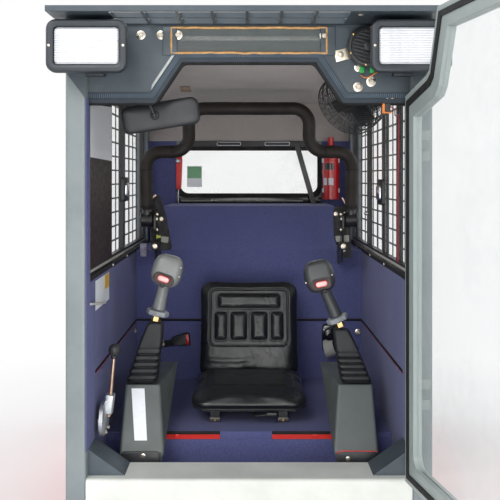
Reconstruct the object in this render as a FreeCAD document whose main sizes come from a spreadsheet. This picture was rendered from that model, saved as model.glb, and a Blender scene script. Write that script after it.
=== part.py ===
# Operator cab of a skid steer loader, seen through its open front door.
# Millimetres. +Z is up, +Y runs into the cab and +X is the right-hand side as
# seen from the front. The origin is the centre of the base bolts, on the ground face.
import FreeCAD, Part
import math
import os

import Sketcher
from FreeCAD import Placement, Rotation, Vector

DOC = FreeCAD.newDocument("OperatorCab")
SHEET = DOC.addObject("Spreadsheet::Sheet", "Sizes")

# Driving sizes. Widths are counted outwards from the seat, heights upwards from the
# ground face and depths back from the front, so a room is the gap up to the next piece.
DRIVING = {
    # shell
    "pillar_wide": 60,
    "roof_lip": 20,
    "front_reach": 800,
    "rear_reach": 800,
    "pillar_deep": 60,
    "pillar_round": 9,
    "sheet": 6,
    "trim": 8,
    "ceiling_rise": 63,
    "roof_space": 95,
    "roof_plate": 14,
    "roof_crown": 18,
    "rear_wall": 20,
    # base and tub
    "base_height": 34,
    "rail_wide": 80,
    "rail_wall": 5,
    "rail_track": 700,
    "bolt_run": 1300,
    "bolt_hole": 9,
    "floor_plate": 8,
    "tub_tall": 548,
    "seam_gap": 10,
    "sill_tall": 272,
    "sill_deep": 145,
    "gusset_wide": 110,
    "gusset_tall": 78,
    # platform, bulkhead and shelf
    "toe_room": 155,
    "platform_tall": 300,
    "edge_tall": 24,
    "bulkhead_back": 264,
    "ledge_rise": 303,
    "shelf_tall": 184,
    "shelf_slope": 107,
    "shelf_room": 105,
    # side windows and guards
    "window_sill": 2,
    "window_tall": 605,
    "window_inset": 75,
    "window_rear_inset": 100,
    "window_bar": 22,
    "blank_run": 400,
    "glass": 5,
    "guard_bar": 6,
    "guard_cell_long": 232,
    "guard_cell_tall": 50,
    # rear window
    "rear_glass_room": 145,
    "rear_glass_rise": 48,
    "rear_glass_tall": 209,
    "rear_rubber": 20,
    "rear_corner": 40,
    # front opening, header and visor
    "header_inset": 40,
    "header_plate": 8,
    "opening_drop": 127,
    "opening_gap": 6,
    "opening_ledge": 195,
    "opening_slope": 81,
    "edge_trim": 12,
    "edge_trim_deep": 22,
    "slot_lap": 26,
    "slot_rise": 17,
    "slot_tall": 72,
    "visor_run": 196,
    "visor_plate": 16,
    "visor_cell_wide": 89,
    "visor_cell_deep": 80,
    "visor_bar": 8,
    "visor_margin": 12,
    "visor_side": 171,
    # lamps and horn on the header
    "lamp_run": 160,
    "lamp_room": 139,
    "lamp_wide": 228,
    "lamp_drop": 163,
    "lamp_tall": 150,
    "lamp_taper": 18,
    "lamp_foot": 42,
    "lamp_bezel": 24,
    "lens_thick": 12,
    "lens_inset": 2,
    "horn_radius": 62,
    "horn_room": 127,
    "horn_drop": 68,
    "horn_deep": 30,
    # door
    "door_thick": 26,
    "door_gap": 8,
    "door_rail": 62,
    "door_elbow_rise": 42,
    "door_elbow_lap": 33,
    "door_raise_rise": 54,
    "door_raise_lap": 12,
    "door_head_gap": 10,
    "door_head_lap": 39,
    "hinge_inset": 7,
    "hinge_ahead": 12,
    "hinge_pin": 7,
    "hinge_barrel": 12,
    "hinge_tall": 90,
    "hinge_low": 520,
    "hinge_drop": 186,
    "door_open": 100,
    # lap bar
    "bar_tube": 26,
    "bar_room": 65,
    "bar_pivot_back": 110,
    "bar_pivot_rise": 137,
    "bar_head_room": 87,
    "bar_drop": 171,
    "bar_lean": 80,
    "bar_inset": 175,
    "bar_bend": 62,
    "hub_radius": 30,
    "hub_half": 26,
    "hub_socket": 19,
    "pin_radius": 10,
    "bracket_plate": 8,
    "bracket_gap": 5,
    # seat
    "cushion_half": 202,
    "cushion_reach": 400,
    "cushion_thick": 94,
    "crease_tall": 45,
    "seat_rise": 50,
    "back_inset": 9,
    "back_tall": 389,
    "back_rest": 95,
    "back_thick": 70,
    "rail_side": 120,
    "rail_reach": 334,
    # pods, levers and brake
    "seat_room": 69,
    "pod_wide": 142,
    "pod_room": 67,
    "pod_gap": 55,
    "pod_drop": 13,
    "pod_slope_run": 120,
    "pod_slope_tall": 181,
    "pod_draw": 27,
    "pod_rear": 200,
    "pod_rear_rise": 12,
    "pod_splay": 8,
    "boot_half": 45,
    "boot_flange": 3,
    "boot_ribs": 5,
    "boot_tall": 200,
    "lever_inset": 50,
    "grip_radius": 20,
    "grip_tall": 110,
    "grip_head": 102,
    "collar_radius": 37,
    "collar_tall": 9,
    "brake_tall": 246,
    # mirror and fan
    "mirror_half": 120,
    "mirror_tall": 85,
    "mirror_drop": 44,
    "mirror_clamp": 40,
    "fan_radius": 105,
    "fan_deep": 84,
    "fan_wire": 3,
    "fan_room": 150,
    "fan_inset": 160,
    "fan_drop": 116,
    # extinguisher and belt
    "bottle_radius": 40,
    "bottle_room": 83,
    "bottle_tall": 300,
    "buckle_wide": 64,
    "buckle_tall": 42,
    "buckle_thick": 26,
    "stalk_long": 58,
    "stalk_tall": 20,
    "reel_wide": 68,
    "reel_tall": 122,
    "reel_thick": 48,
}


class Dim:
    """A size: its number, and the sheet formula that gives it."""

    def __init__(self, number, formula):
        self.number = float(number)
        self.formula = formula

    def __add__(self, other):
        return Dim(self.number + number(other), f"({self.formula} + {formula(other)})")

    def __radd__(self, other):
        return Dim(number(other) + self.number, f"({formula(other)} + {self.formula})")

    def __sub__(self, other):
        return Dim(self.number - number(other), f"({self.formula} - {formula(other)})")

    def __rsub__(self, other):
        return Dim(number(other) - self.number, f"({formula(other)} - {self.formula})")

    def __mul__(self, other):
        return Dim(self.number * number(other), f"({self.formula} * {formula(other)})")

    __rmul__ = __mul__

    def __truediv__(self, other):
        return Dim(self.number / number(other), f"({self.formula} / {formula(other)})")

    def __neg__(self):
        return Dim(-self.number, f"(0 - {self.formula})")


def number(size):
    """The plain number of a size."""
    return size.number if isinstance(size, Dim) else float(size)


def formula(size):
    """The sheet formula of a size."""
    return size.formula if isinstance(size, Dim) else f"{size:g}"


class Sizes:
    """The driving sizes, read by name."""

    def __init__(self, driving):
        for row, (name, value) in enumerate(driving.items(), start=1):
            SHEET.set(f"A{row}", str(value))
            SHEET.setAlias(f"A{row}", name)
            setattr(self, name, Dim(value, f"Sizes.{name}"))
        DOC.recompute()


s = Sizes(DRIVING)

# Widths that follow, outwards from the seat.
s.back_half = s.cushion_half - s.back_inset
s.pod_inner = s.cushion_half + s.seat_room
s.pod_outer = s.pod_inner + s.pod_wide
s.pod_top_inner = s.pod_inner + s.pod_draw
s.pod_rear_inner = s.pod_inner - s.pod_splay
s.inner_half = s.pod_outer + s.pod_room
s.outer_half = s.inner_half + s.pillar_wide
s.roof_half = s.outer_half + s.roof_lip
s.shelf_half = s.inner_half - s.shelf_room
s.rear_glass_half = s.inner_half - s.rear_glass_room
s.bottle_side = s.inner_half - s.bottle_room
s.bar_side = s.inner_half - s.bar_room
s.bar_neck = s.bar_side - s.bar_inset
s.hinge_side = s.inner_half + s.hinge_inset
s.opening_shoulder = s.inner_half - s.opening_ledge
s.opening_flat = s.opening_shoulder - s.opening_slope
s.slot_half = s.opening_flat + s.slot_lap
s.door_elbow_side = s.opening_shoulder + s.door_elbow_lap
s.door_raise_side = s.opening_shoulder + s.door_raise_lap
s.door_head_side = s.opening_flat + s.door_head_lap
s.lamp_inner = s.inner_half - s.lamp_room
s.horn_side = s.inner_half - s.horn_room
s.fan_side = s.inner_half - s.fan_room
s.visor_left = s.roof_half - s.visor_side

# Heights that follow, upwards from the floor.
FLOOR = s.base_height + s.floor_plate
s.sill_top = FLOOR + s.sill_tall
s.platform_top = FLOOR + s.platform_tall
s.tub_top = FLOOR + s.tub_tall
s.cushion_under = s.platform_top + s.seat_rise
s.cushion_crease = s.cushion_under + s.crease_tall
s.cushion_front = s.cushion_under + s.cushion_thick
s.back_top = s.cushion_under + s.back_tall
s.pod_foot = s.platform_top - s.pod_drop
s.pod_top = s.pod_foot + s.pod_slope_tall
s.pod_rear_top = s.pod_top + s.pod_rear_rise
s.ledge_top = s.tub_top + s.ledge_rise
s.shelf_top = s.ledge_top + s.shelf_tall
s.window_low = s.ledge_top + s.window_sill
s.window_high = s.window_low + s.window_tall
s.rear_glass_low = s.shelf_top + s.rear_glass_rise
s.rear_glass_high = s.rear_glass_low + s.rear_glass_tall
s.ceiling = s.window_high + s.ceiling_rise
s.roof_under = s.ceiling + s.roof_space
s.opening_side = s.ceiling - s.opening_drop
s.opening_middle = s.ceiling - s.opening_gap
s.slot_low = s.opening_middle + s.slot_rise
s.slot_high = s.slot_low + s.slot_tall
s.lamp_low = s.roof_under - s.lamp_drop
s.horn_level = s.roof_under - s.horn_drop
s.door_elbow = s.opening_side + s.door_elbow_rise
s.door_raise = s.opening_side + s.door_raise_rise
s.door_head = s.roof_under - s.door_head_gap
s.hinge_high = s.opening_side - s.hinge_drop
s.bar_pivot_level = s.ledge_top + s.bar_pivot_rise
s.bar_cross = s.ceiling - s.bar_head_room - s.bar_pivot_level
s.bar_shoulder = s.bar_cross - s.bar_drop

# Depths that follow, back from the front.
s.header_reach = s.front_reach - s.header_inset
s.visor_reach = s.header_reach + s.visor_run
s.lamp_reach = s.header_reach + s.lamp_run
s.fan_reach = s.header_reach - s.fan_inset
s.window_reach = s.front_reach - s.window_inset
s.window_back = s.rear_reach - s.window_rear_inset
s.blank_reach = s.window_reach - s.blank_run
s.pod_foot_reach = s.front_reach - s.sill_deep - s.pod_gap
s.pod_top_reach = s.pod_foot_reach - s.pod_slope_run
s.platform_reach = s.pod_foot_reach - s.toe_room
s.lever_reach = s.pod_top_reach - s.lever_inset
s.shelf_back = s.bulkhead_back + s.shelf_slope

PARTS = []


def bind(thing, prop, size):
    """Set a property and tie it to the sheet."""
    if isinstance(size, Dim):
        thing.setExpression(prop, size.formula)
    else:
        thing.setExpression(prop, f"{size:g}")


def place(thing, x, y, z, rotation=None):
    """Put an object at a point given by sizes."""
    rotation = rotation or Rotation()
    thing.Placement = Placement(Vector(number(x), number(y), number(z)), rotation)
    for axis, size in (("x", x), ("y", y), ("z", z)):
        if isinstance(size, Dim):
            thing.setExpression(f"Placement.Base.{axis}", size.formula)


def keep(thing, label):
    """Count an object as one sub-part, written out under its label."""
    thing.Label = label
    PARTS.append(thing)
    return thing


def box(name, xs, ys, zs):
    """A block between low and high faces along X, Y and Z."""
    block = DOC.addObject("Part::Box", name)
    for prop, (low, high) in zip(("Length", "Width", "Height"), (xs, ys, zs)):
        bind(block, prop, high - low)
    place(block, xs[0], ys[0], zs[0])
    return block


TURNS = {
    "X": Rotation(Vector(0, 1, 0), 90),
    "Y": Rotation(Vector(1, 0, 0), -90),
    "Z": Rotation(),
}


def rod(name, radius, length, start, axis="Z"):
    """A round bar that starts at a point and runs along X, Y or Z."""
    bar = DOC.addObject("Part::Cylinder", name)
    bind(bar, "Radius", radius)
    bind(bar, "Height", length)
    place(bar, *start, TURNS[axis])
    return bar


def cut(name, base, tools):
    """Take one or more shapes out of another."""
    tool = tools[0]
    if len(tools) > 1:
        tool = DOC.addObject("Part::MultiFuse", name + "_tools")
        tool.Shapes = tools
    result = DOC.addObject("Part::Cut", name)
    result.Base = base
    result.Tool = tool
    return result


def fuse(name, shapes):
    """Join shapes, or keep pieces that stand apart in one sub-part."""
    result = DOC.addObject("Part::MultiFuse", name)
    result.Shapes = shapes
    return result


def plane_of(body, role):
    """One of a body's own origin planes."""
    return [item for item in body.Origin.OriginFeatures if item.Role == role][0]


def tie_point(sketch, index, corner, point):
    """Fix one sketch point at its two sizes."""
    for kind, size in zip(("DistanceX", "DistanceY"), point):
        tied = sketch.addConstraint(Sketcher.Constraint(kind, -1, 1, index, corner, number(size)))
        if isinstance(size, Dim):
            sketch.setExpression(f"Constraints[{tied}]", size.formula)


def draw_loop(sketch, points):
    """A closed loop of straight lines through the points."""
    first = sketch.GeometryCount
    count = len(points)
    spots = [Vector(number(u), number(v), 0) for u, v in points]
    for i in range(count):
        sketch.addGeometry(Part.LineSegment(spots[i], spots[(i + 1) % count]), False)
    for i in range(count):
        after = first + (i + 1) % count
        sketch.addConstraint(Sketcher.Constraint("Coincident", first + i, 2, after, 1))
    for i, point in enumerate(points):
        tie_point(sketch, first + i, 1, point)


def draw_circle(sketch, u, v, radius):
    """A circle at a point given by sizes."""
    centre = Vector(number(u), number(v), 0)
    index = sketch.addGeometry(Part.Circle(centre, Vector(0, 0, 1), number(radius)), False)
    tie_point(sketch, index, 3, (u, v))
    tied = sketch.addConstraint(Sketcher.Constraint("Radius", index, number(radius)))
    if isinstance(radius, Dim):
        sketch.setExpression(f"Constraints[{tied}]", radius.formula)


def sketch_on(body, name, role, loops, offset=0, circles=()):
    """A sketch on one of the body's origin planes, pushed along its normal."""
    sketch = body.newObject("Sketcher::SketchObject", name)
    sketch.AttachmentSupport = [(plane_of(body, role), "")]
    sketch.MapMode = "FlatFace"
    for loop in loops:
        draw_loop(sketch, loop)
    for circle in circles:
        draw_circle(sketch, *circle)
    sketch.AttachmentOffset = Placement(Vector(0, 0, number(offset)), Rotation())
    if isinstance(offset, Dim):
        sketch.setExpression("AttachmentOffset.Base.z", offset.formula)
    return sketch


def plate(name, role, outline, span, holes=(), circles=()):
    """A body padded from one outline. The span is its low and high side."""
    low, high = span
    body = DOC.addObject("PartDesign::Body", name)
    start = -high if role == "XZ_Plane" else low
    loops = [outline] + list(holes)
    profile = sketch_on(body, name + "_outline", role, loops, start, circles)
    pad = body.newObject("PartDesign::Pad", name + "_pad")
    pad.Profile = profile
    bind(pad, "Length", high - low)
    return body


def rectangle(low_u, high_u, low_v, high_v):
    """The four corners of a rectangle."""
    return [(low_u, low_v), (high_u, low_v), (high_u, high_v), (low_u, high_v)]


def round_off(body, name, radius, chosen):
    """Fillet the edges of a body's last feature that pass a test."""
    DOC.recompute()
    base = body.Tip
    names = [f"Edge{i}" for i, edge in enumerate(base.Shape.Edges, start=1) if chosen(edge)]
    fillet = body.newObject("PartDesign::Fillet", name)
    fillet.Base = (base, names)
    bind(fillet, "Radius", radius)
    body.Tip = fillet
    return fillet


def runs_along(axis):
    """A test for straight edges that run along X, Y or Z."""
    index = "XYZ".index(axis)

    def test(edge):
        if not isinstance(edge.Curve, Part.Line):
            return False
        return abs(abs(edge.tangentAt(edge.FirstParameter)[index]) - 1) < 1e-6

    return test


def shape_part(name, shape):
    """A sub-part whose form neither a sketch nor a primitive gives."""
    feature = DOC.addObject("Part::Feature", name)
    feature.Shape = shape
    return feature


def bent_bar(points, bend, radius, steps=3):
    """A round bar of straight runs, mitred in a few steps round each inner point."""
    line = [points[0]]
    for before, corner, after in zip(points, points[1:], points[2:]):
        towards = (before - corner).normalize()
        away = (after - corner).normalize()
        half = towards.getAngle(away) / 2
        reach = bend / math.tan(half)
        centre = corner + (towards + away).normalize() * (bend / math.sin(half))
        spoke = corner + towards * reach - centre
        axis = away.cross(towards)
        turn = 180 - math.degrees(2 * half)
        line += [centre + Rotation(axis, turn * i / steps).multVec(spoke) for i in range(steps + 1)]
    line.append(points[-1])
    section = round_section(radius, 0, 20)
    profile = Part.makePolygon(section + section[:1])
    profile.Placement = Placement(line[0], Rotation(Vector(0, 0, 1), line[1] - line[0]))
    return Part.makePolygon(line).makePipeShell([profile], True, False, 1)


def soft_section(half_u, half_v, radius, level, shift=(0, 0)):
    """The points of a level rectangle whose corners are rounded in two short runs."""
    points = []
    for turn, (sign_u, sign_v) in enumerate(((1, 1), (-1, 1), (-1, -1), (1, -1))):
        for step in (0, 45, 90):
            angle = math.radians(turn * 90 + step)
            points.append(Vector(shift[0] + sign_u * (half_u - radius) + math.cos(angle) * radius,
                                 shift[1] + sign_v * (half_v - radius) + math.sin(angle) * radius, level))
    return points


def round_section(radius, level, sides=16):
    """The points of a level circle, drawn with short straight sides."""
    angles = [2 * math.pi * i / sides for i in range(sides)]
    return [Vector(radius * math.cos(angle), radius * math.sin(angle), level) for angle in angles]


def stacked(sections):
    """A solid with flat faces between level sections of as many points each."""
    ends = (sections[0], sections[-1])
    faces = [Part.Face(Part.makePolygon(points + points[:1])) for points in ends]
    for low, high in zip(sections, sections[1:]):
        for i in range(len(low)):
            after = (i + 1) % len(low)
            loop = [low[i], low[after], high[after], high[i], low[i]]
            faces.append(Part.Face(Part.makePolygon(loop)))
    solid = Part.Solid(Part.Shell(faces))
    if solid.Volume < 0:
        solid.reverse()
    return solid


def turned(profile, sides=24):
    """A solid turned about Z in short flat runs, from its radii and levels."""
    return stacked([round_section(radius, level, sides) for radius, level in profile])


SIDES = (("left", -1), ("right", 1))


def both(label, make):
    """One sub-part from a left and a right piece that stand apart."""
    pieces = [make(f"{name}_{label}", side) for name, side in SIDES]
    return keep(fuse(f"both_{label}", pieces), label)


def spread(side, near, far):
    """A low and a high X for a piece between two distances on one side."""
    return (near, far) if side > 0 else (-far, -near)


FRONT = -s.front_reach
BACK = s.rear_reach
CAB_FOOT = s.tub_top + s.seam_gap
WALL_IN = s.inner_half + s.trim
HEADER_FRONT = -s.header_reach
HEADER_BACK = HEADER_FRONT + s.header_plate
WALL_BACK = BACK - s.rear_wall
SIDE_FRONT = FRONT + s.pillar_deep
PLATFORM_FRONT = -s.platform_reach
SILL_BACK = FRONT + s.sill_deep


def base_rail(label, side):
    """A box rail under the floor, open at its ends, with two bolt holes."""
    centre = s.rail_track / 2
    low, high = spread(side, centre - s.rail_wide / 2, centre + s.rail_wide / 2)
    outer = box(label + "_outer", (low, high), (FRONT, BACK), (0, s.base_height))
    hollow = box(label + "_hollow", (low + s.rail_wall, high - s.rail_wall), (FRONT - 1, BACK + 1),
                 (s.rail_wall, s.base_height - s.rail_wall))
    across = centre if side > 0 else -centre
    holes = []
    for end, way in (("front", -1), ("rear", 1)):
        along = s.bolt_run / 2 * way
        holes.append(rod(f"{label}_{end}_hole", s.bolt_hole, s.base_height + 2, (across, along, -1)))
    return cut(label, outer, [hollow] + holes)


def base_frame():
    """The floor plate, welded to its two bolt-down rails."""
    outline = rectangle(-s.outer_half, s.outer_half, FRONT, BACK)
    floor = plate("floor_pan", "XY_Plane", outline, (s.base_height, FLOOR))
    rails = [base_rail(f"{name}_base_rail", side) for name, side in SIDES]
    keep(fuse("floor_and_rails", [floor] + rails), "base_frame")


def tub_side(label, side):
    """A bent side plate of the tub with the flange that carries the cab."""
    near, far = WALL_IN, s.outer_half
    ways = [(near, FLOOR), (near + s.trim, FLOOR), (near + s.trim, s.tub_top - s.trim),
            (far, s.tub_top - s.trim), (far, s.tub_top), (near, s.tub_top)]
    outline = [(x if side > 0 else -x, z) for x, z in ways]
    return plate(label, "XZ_Plane", outline, (SIDE_FRONT, WALL_BACK))


def tub_shell():
    """The tub: bent side plates, and a rear plate with its flange turned in."""
    outline = [(WALL_BACK, FLOOR), (BACK, FLOOR), (BACK, s.tub_top), (WALL_BACK - s.rear_wall, s.tub_top),
               (WALL_BACK - s.rear_wall, s.tub_top - s.trim), (WALL_BACK, s.tub_top - s.trim)]
    half = WALL_IN + s.trim
    rear = plate("tub_rear", "YZ_Plane", outline, (-half, half))
    sides = [tub_side(f"{name}_tub_side", side) for name, side in SIDES]
    keep(fuse("tub_plates", [rear] + sides), "tub_shell")


def seam_seal():
    """The rubber strip between the tub and the cab that stands on it."""
    near, far = WALL_IN, s.outer_half
    outline = [(-far, SIDE_FRONT), (-near, SIDE_FRONT), (-near, WALL_BACK), (near, WALL_BACK),
               (near, SIDE_FRONT), (far, SIDE_FRONT), (far, BACK), (-far, BACK)]
    keep(plate("seam_seal", "XY_Plane", outline, (s.tub_top, CAB_FOOT)), "seam_seal")


def front_sill():
    """The folded step under the door, open below."""
    low, high = FRONT, SILL_BACK
    inner = s.sill_top - s.sheet
    outline = [(low, FLOOR), (low, s.sill_top), (high, s.sill_top), (high, FLOOR),
               (high - s.sheet, FLOOR), (high - s.sheet, inner), (low + s.sheet, inner),
               (low + s.sheet, FLOOR)]
    body = plate("front_sill", "YZ_Plane", outline, (-s.inner_half, s.inner_half))

    def top_front(edge):
        spot = edge.CenterOfMass
        return abs(spot.y - low.number) < 1e-6 and abs(spot.z - s.sill_top.number) < 1e-6

    round_off(body, "front_sill_round", s.sheet * 2, top_front)
    keep(body, "front_sill")


def door_gusset(label, side):
    """The plate across a lower corner of the door opening."""
    corner = s.inner_half
    ways = [(corner, s.sill_top), (corner - s.gusset_wide, s.sill_top),
            (corner, s.sill_top + s.gusset_tall)]
    outline = [(x if side > 0 else -x, z) for x, z in ways]
    span = (FRONT + s.door_thick + s.door_gap, SILL_BACK)
    return plate(label, "XZ_Plane", outline, span)


def pillar(label, side):
    """A front post with rounded edges, from the floor to the roof."""
    low, high = spread(side, s.inner_half, s.outer_half)
    outline = rectangle(low, high, FRONT, SIDE_FRONT)
    body = plate(label, "XY_Plane", outline, (FLOOR, s.roof_under))
    upright = runs_along("Z")

    def front_edge(edge):
        return upright(edge) and edge.CenterOfMass.y < FRONT.number + 1

    round_off(body, label + "_round", s.pillar_round, front_edge)
    return body


def opening_edge():
    """The lower edge of the header: level at the sides, raised in the middle."""
    return [(-s.inner_half, s.opening_side), (-s.opening_shoulder, s.opening_side),
            (-s.opening_flat, s.opening_middle), (s.opening_flat, s.opening_middle),
            (s.opening_shoulder, s.opening_side), (s.inner_half, s.opening_side)]


def header():
    """The plate over the door opening, with the slot window cut in it."""
    outline = opening_edge() + [(s.inner_half, s.roof_under), (-s.inner_half, s.roof_under)]
    slot = rectangle(-s.slot_half, s.slot_half, s.slot_low, s.slot_high)
    body = plate("header_plate", "XZ_Plane", outline, (HEADER_FRONT, HEADER_BACK), [slot])
    keep(body, "header_plate")


def header_edge_trim():
    """The rubber edging under the header."""
    edge = opening_edge()
    below = [(x, z - s.edge_trim) for x, z in edge]
    slack = s.edge_trim * 0.4
    below[1] = (below[1][0] + slack, below[1][1])
    below[2] = (below[2][0] + slack, below[2][1])
    below[3] = (below[3][0] - slack, below[3][1])
    below[4] = (below[4][0] - slack, below[4][1])
    middle = HEADER_FRONT + s.header_plate / 2
    span = (middle - s.edge_trim_deep / 2, middle + s.edge_trim_deep / 2)
    body = plate("header_edge_trim", "XZ_Plane", edge + below[::-1], span)
    keep(body, "header_edge_trim")


def slot_pane():
    """The pane in the header's slot."""
    outline = rectangle(-s.slot_half, s.slot_half, s.slot_low, s.slot_high)
    return plate("slot_pane", "XZ_Plane", outline, (HEADER_FRONT, HEADER_FRONT + s.glass))


def roof():
    """The roof plate with its raised, chamfered crown."""
    outline = rectangle(-s.roof_half, s.roof_half, HEADER_FRONT, BACK)
    body = plate("roof_panel", "XY_Plane", outline, (s.roof_under, s.roof_under + s.roof_plate))
    margin = s.outer_half - s.inner_half
    crown = rectangle(-s.inner_half, s.inner_half, HEADER_FRONT + margin * 2, BACK - margin)
    top = sketch_on(body, "crown_outline", "XY_Plane", [crown], s.roof_under + s.roof_plate)
    pad = body.newObject("PartDesign::Pad", "crown")
    pad.Profile = top
    bind(pad, "Length", s.roof_crown)
    DOC.recompute()
    level = (s.roof_under + s.roof_plate + s.roof_crown).number
    names = [f"Edge{i}" for i, edge in enumerate(pad.Shape.Edges, start=1)
             if abs(edge.CenterOfMass.z - level) < 1e-6]
    bevel = body.newObject("PartDesign::Chamfer", "crown_bevel")
    bevel.Base = (pad, names)
    bind(bevel, "Size", s.roof_crown * 0.8)
    body.Tip = bevel
    keep(body, "roof_panel")


def visor():
    """The open mesh visor that reaches ahead of the roof."""
    low = -s.visor_reach
    high = HEADER_FRONT
    level = s.roof_under
    outline = rectangle(-s.roof_half, s.roof_half, low, high)
    body = plate("visor_guard", "XY_Plane", outline, (level, level + s.visor_plate))
    left = -s.visor_left
    near = low + s.visor_margin
    cell = rectangle(left, left + s.visor_cell_wide, near, near + s.visor_cell_deep)
    opening = sketch_on(body, "visor_cell", "XY_Plane", [cell], level)
    pocket = body.newObject("PartDesign::Pocket", "visor_hole")
    pocket.Profile = opening
    pocket.Midplane = True
    bind(pocket, "Length", s.visor_plate * 3)
    DOC.recompute()
    repeat_both_ways(body, pocket, opening, "visor_mesh",
                     (s.visor_cell_wide + s.visor_bar, 7), (s.visor_cell_deep + s.visor_bar, 2))
    keep(body, "visor_guard")


def repeat_both_ways(body, pocket, sketch, name, across, along):
    """Repeat one hole in a grid. Each way is a pitch and a count."""
    grid = body.newObject("PartDesign::LinearPattern", name)
    grid.Originals = [pocket]
    grid.Direction = (sketch, ["H_Axis"])
    bind(grid, "Length", across[0] * (across[1] - 1))
    grid.Occurrences = across[1]
    grid.Direction2 = (sketch, ["V_Axis"])
    bind(grid, "Length2", along[0] * (along[1] - 1))
    grid.Occurrences2 = along[1]
    body.Tip = grid
    DOC.recompute()
    return grid


def window_hole():
    """The side window opening, in depth and height."""
    return rectangle(-s.window_reach, s.window_back, s.window_low, s.window_high)


def side_frame(label, side):
    """A side wall of the cab with its window opening."""
    near, far = spread(side, WALL_IN, s.outer_half)
    outline = rectangle(SIDE_FRONT, WALL_BACK, CAB_FOOT, s.roof_under)
    keep(plate(label, "YZ_Plane", outline, (near, far), [window_hole()]), label)


def side_glazing(side_name, side):
    """One side's black window frame with its dividers, and the panes between them."""
    middle = (WALL_IN + s.outer_half) / 2
    frame_span = spread(side, middle - s.glass * 2, middle + s.glass * 2)
    pane_span = spread(side, middle - s.glass / 2, middle + s.glass / 2)
    bar = s.window_bar
    low, high = s.window_low + bar, s.window_high - bar
    if side > 0:
        dividers = [s.window_reach * -0.58, s.window_reach * -0.2, s.window_reach * 0.355]
    else:
        dividers = [-s.blank_reach, s.window_reach * 0.1]
    edges = [-s.window_reach + bar]
    for middle_y in dividers:
        edges += [middle_y - bar / 2, middle_y + bar / 2]
    edges.append(s.window_back - bar)
    bays = [rectangle(a, b, low, high) for a, b in zip(edges[0::2], edges[1::2])]
    frame = plate(f"{side_name}_window_frame", "YZ_Plane", window_hole(), frame_span, bays)
    glazed = bays if side > 0 else bays[1:]
    panes = []
    for i, bay in enumerate(glazed, start=1):
        panes.append(plate(f"{side_name}_pane_{i}", "YZ_Plane", bay, pane_span))
    if side < 0:
        blank = plate("left_blank_panel", "YZ_Plane", bays[0], pane_span)
        frame = fuse("left_frame_with_blank", [frame, blank])
    return frame, panes


def glazing():
    """The side window frames, and every fixed or sliding pane of the cab."""
    frames = []
    panes = [rear_pane(), slot_pane()]
    for name, side in SIDES:
        frame, side_panes = side_glazing(name, side)
        frames.append(frame)
        panes += side_panes
    keep(fuse("both_window_frames", frames), "window_frames")
    keep(fuse("all_panes", panes), "cab_glass")


def window_guard(label, side):
    """The mesh guard welded over the outside of a side window."""
    near = s.outer_half
    far = near + s.guard_bar
    pitch_long = s.guard_cell_long + s.guard_bar
    pitch_tall = s.guard_cell_tall + s.guard_bar
    long_count = round(((s.window_reach + s.window_back) / pitch_long).number)
    tall_count = round((s.window_tall / pitch_tall).number)
    bar = s.guard_bar
    start, foot = -s.window_reach - bar / 2, s.window_low - bar / 2
    stop = start + pitch_long * long_count + bar
    head = foot + pitch_tall * tall_count + bar
    body = plate(label, "YZ_Plane", rectangle(start, stop, foot, head), spread(side, near, far))
    cell = rectangle(start + bar, start + bar + s.guard_cell_long,
                     foot + bar, foot + bar + s.guard_cell_tall)
    offset = near if side > 0 else -far
    opening = sketch_on(body, label + "_cell", "YZ_Plane", [cell], offset)
    pocket = body.newObject("PartDesign::Pocket", label + "_hole")
    pocket.Profile = opening
    pocket.Midplane = True
    bind(pocket, "Length", s.guard_bar * 3)
    DOC.recompute()
    repeat_both_ways(body, pocket, opening, label + "_mesh", (pitch_long, long_count),
                     (pitch_tall, tall_count))
    keep(body, label)


def rear_hole(grow):
    """The rear window opening, grown by a margin."""
    half = s.rear_glass_half + grow
    return rectangle(-half, half, s.rear_glass_low - grow, s.rear_glass_high + grow)


def rear_pane():
    """The rear window pane, with round corners."""
    span = (WALL_BACK + s.glass, WALL_BACK + s.glass * 2)
    pane = plate("rear_pane", "XZ_Plane", rear_hole(s.rear_rubber / 2), span)
    round_off(pane, "rear_pane_round", s.rear_corner, runs_along("Y"))
    return pane


def rear_wall():
    """The rear wall, and the rounded rubber frame of its window."""
    outline = rectangle(-s.outer_half, s.outer_half, CAB_FOOT, s.roof_under)
    hole = rear_hole(s.rear_rubber / 2)
    body = plate("rear_wall", "XZ_Plane", outline, (WALL_BACK, BACK), [hole])
    across = runs_along("Y")
    reach = (s.rear_glass_half + s.rear_rubber).number

    def hole_corner(edge):
        return across(edge) and abs(edge.CenterOfMass.x) < reach

    round_off(body, "rear_wall_round", s.rear_corner, hole_corner)
    keep(body, "rear_wall")
    span = (WALL_BACK - s.rear_rubber / 2, WALL_BACK)
    frame = plate("rear_window_rubber", "XZ_Plane", rear_hole(s.rear_rubber), span, [rear_hole(0)])
    round_off(frame, "rear_rubber_round", s.rear_corner, across)
    keep(frame, "rear_window_rubber")


def platform():
    """The seat platform: a bent red sheet with carpet on top and in front."""
    steel_top = s.platform_top - s.trim
    front = PLATFORM_FRONT
    outline = [(front, FLOOR), (front + s.sheet, FLOOR), (front + s.sheet, steel_top - s.sheet),
               (s.bulkhead_back, steel_top - s.sheet), (s.bulkhead_back, steel_top), (front, steel_top)]
    keep(plate("seat_box", "YZ_Plane", outline, (-s.inner_half, s.inner_half)), "seat_box")
    top = box("platform_top", (-s.inner_half, s.inner_half), (front, s.bulkhead_back),
              (steel_top, s.platform_top))
    skirt = box("platform_skirt", (-s.inner_half, s.inner_half), (front - s.trim, front),
                (FLOOR, s.platform_top - s.edge_tall))
    keep(fuse("platform_carpet", [top, skirt]), "platform_carpet")


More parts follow.
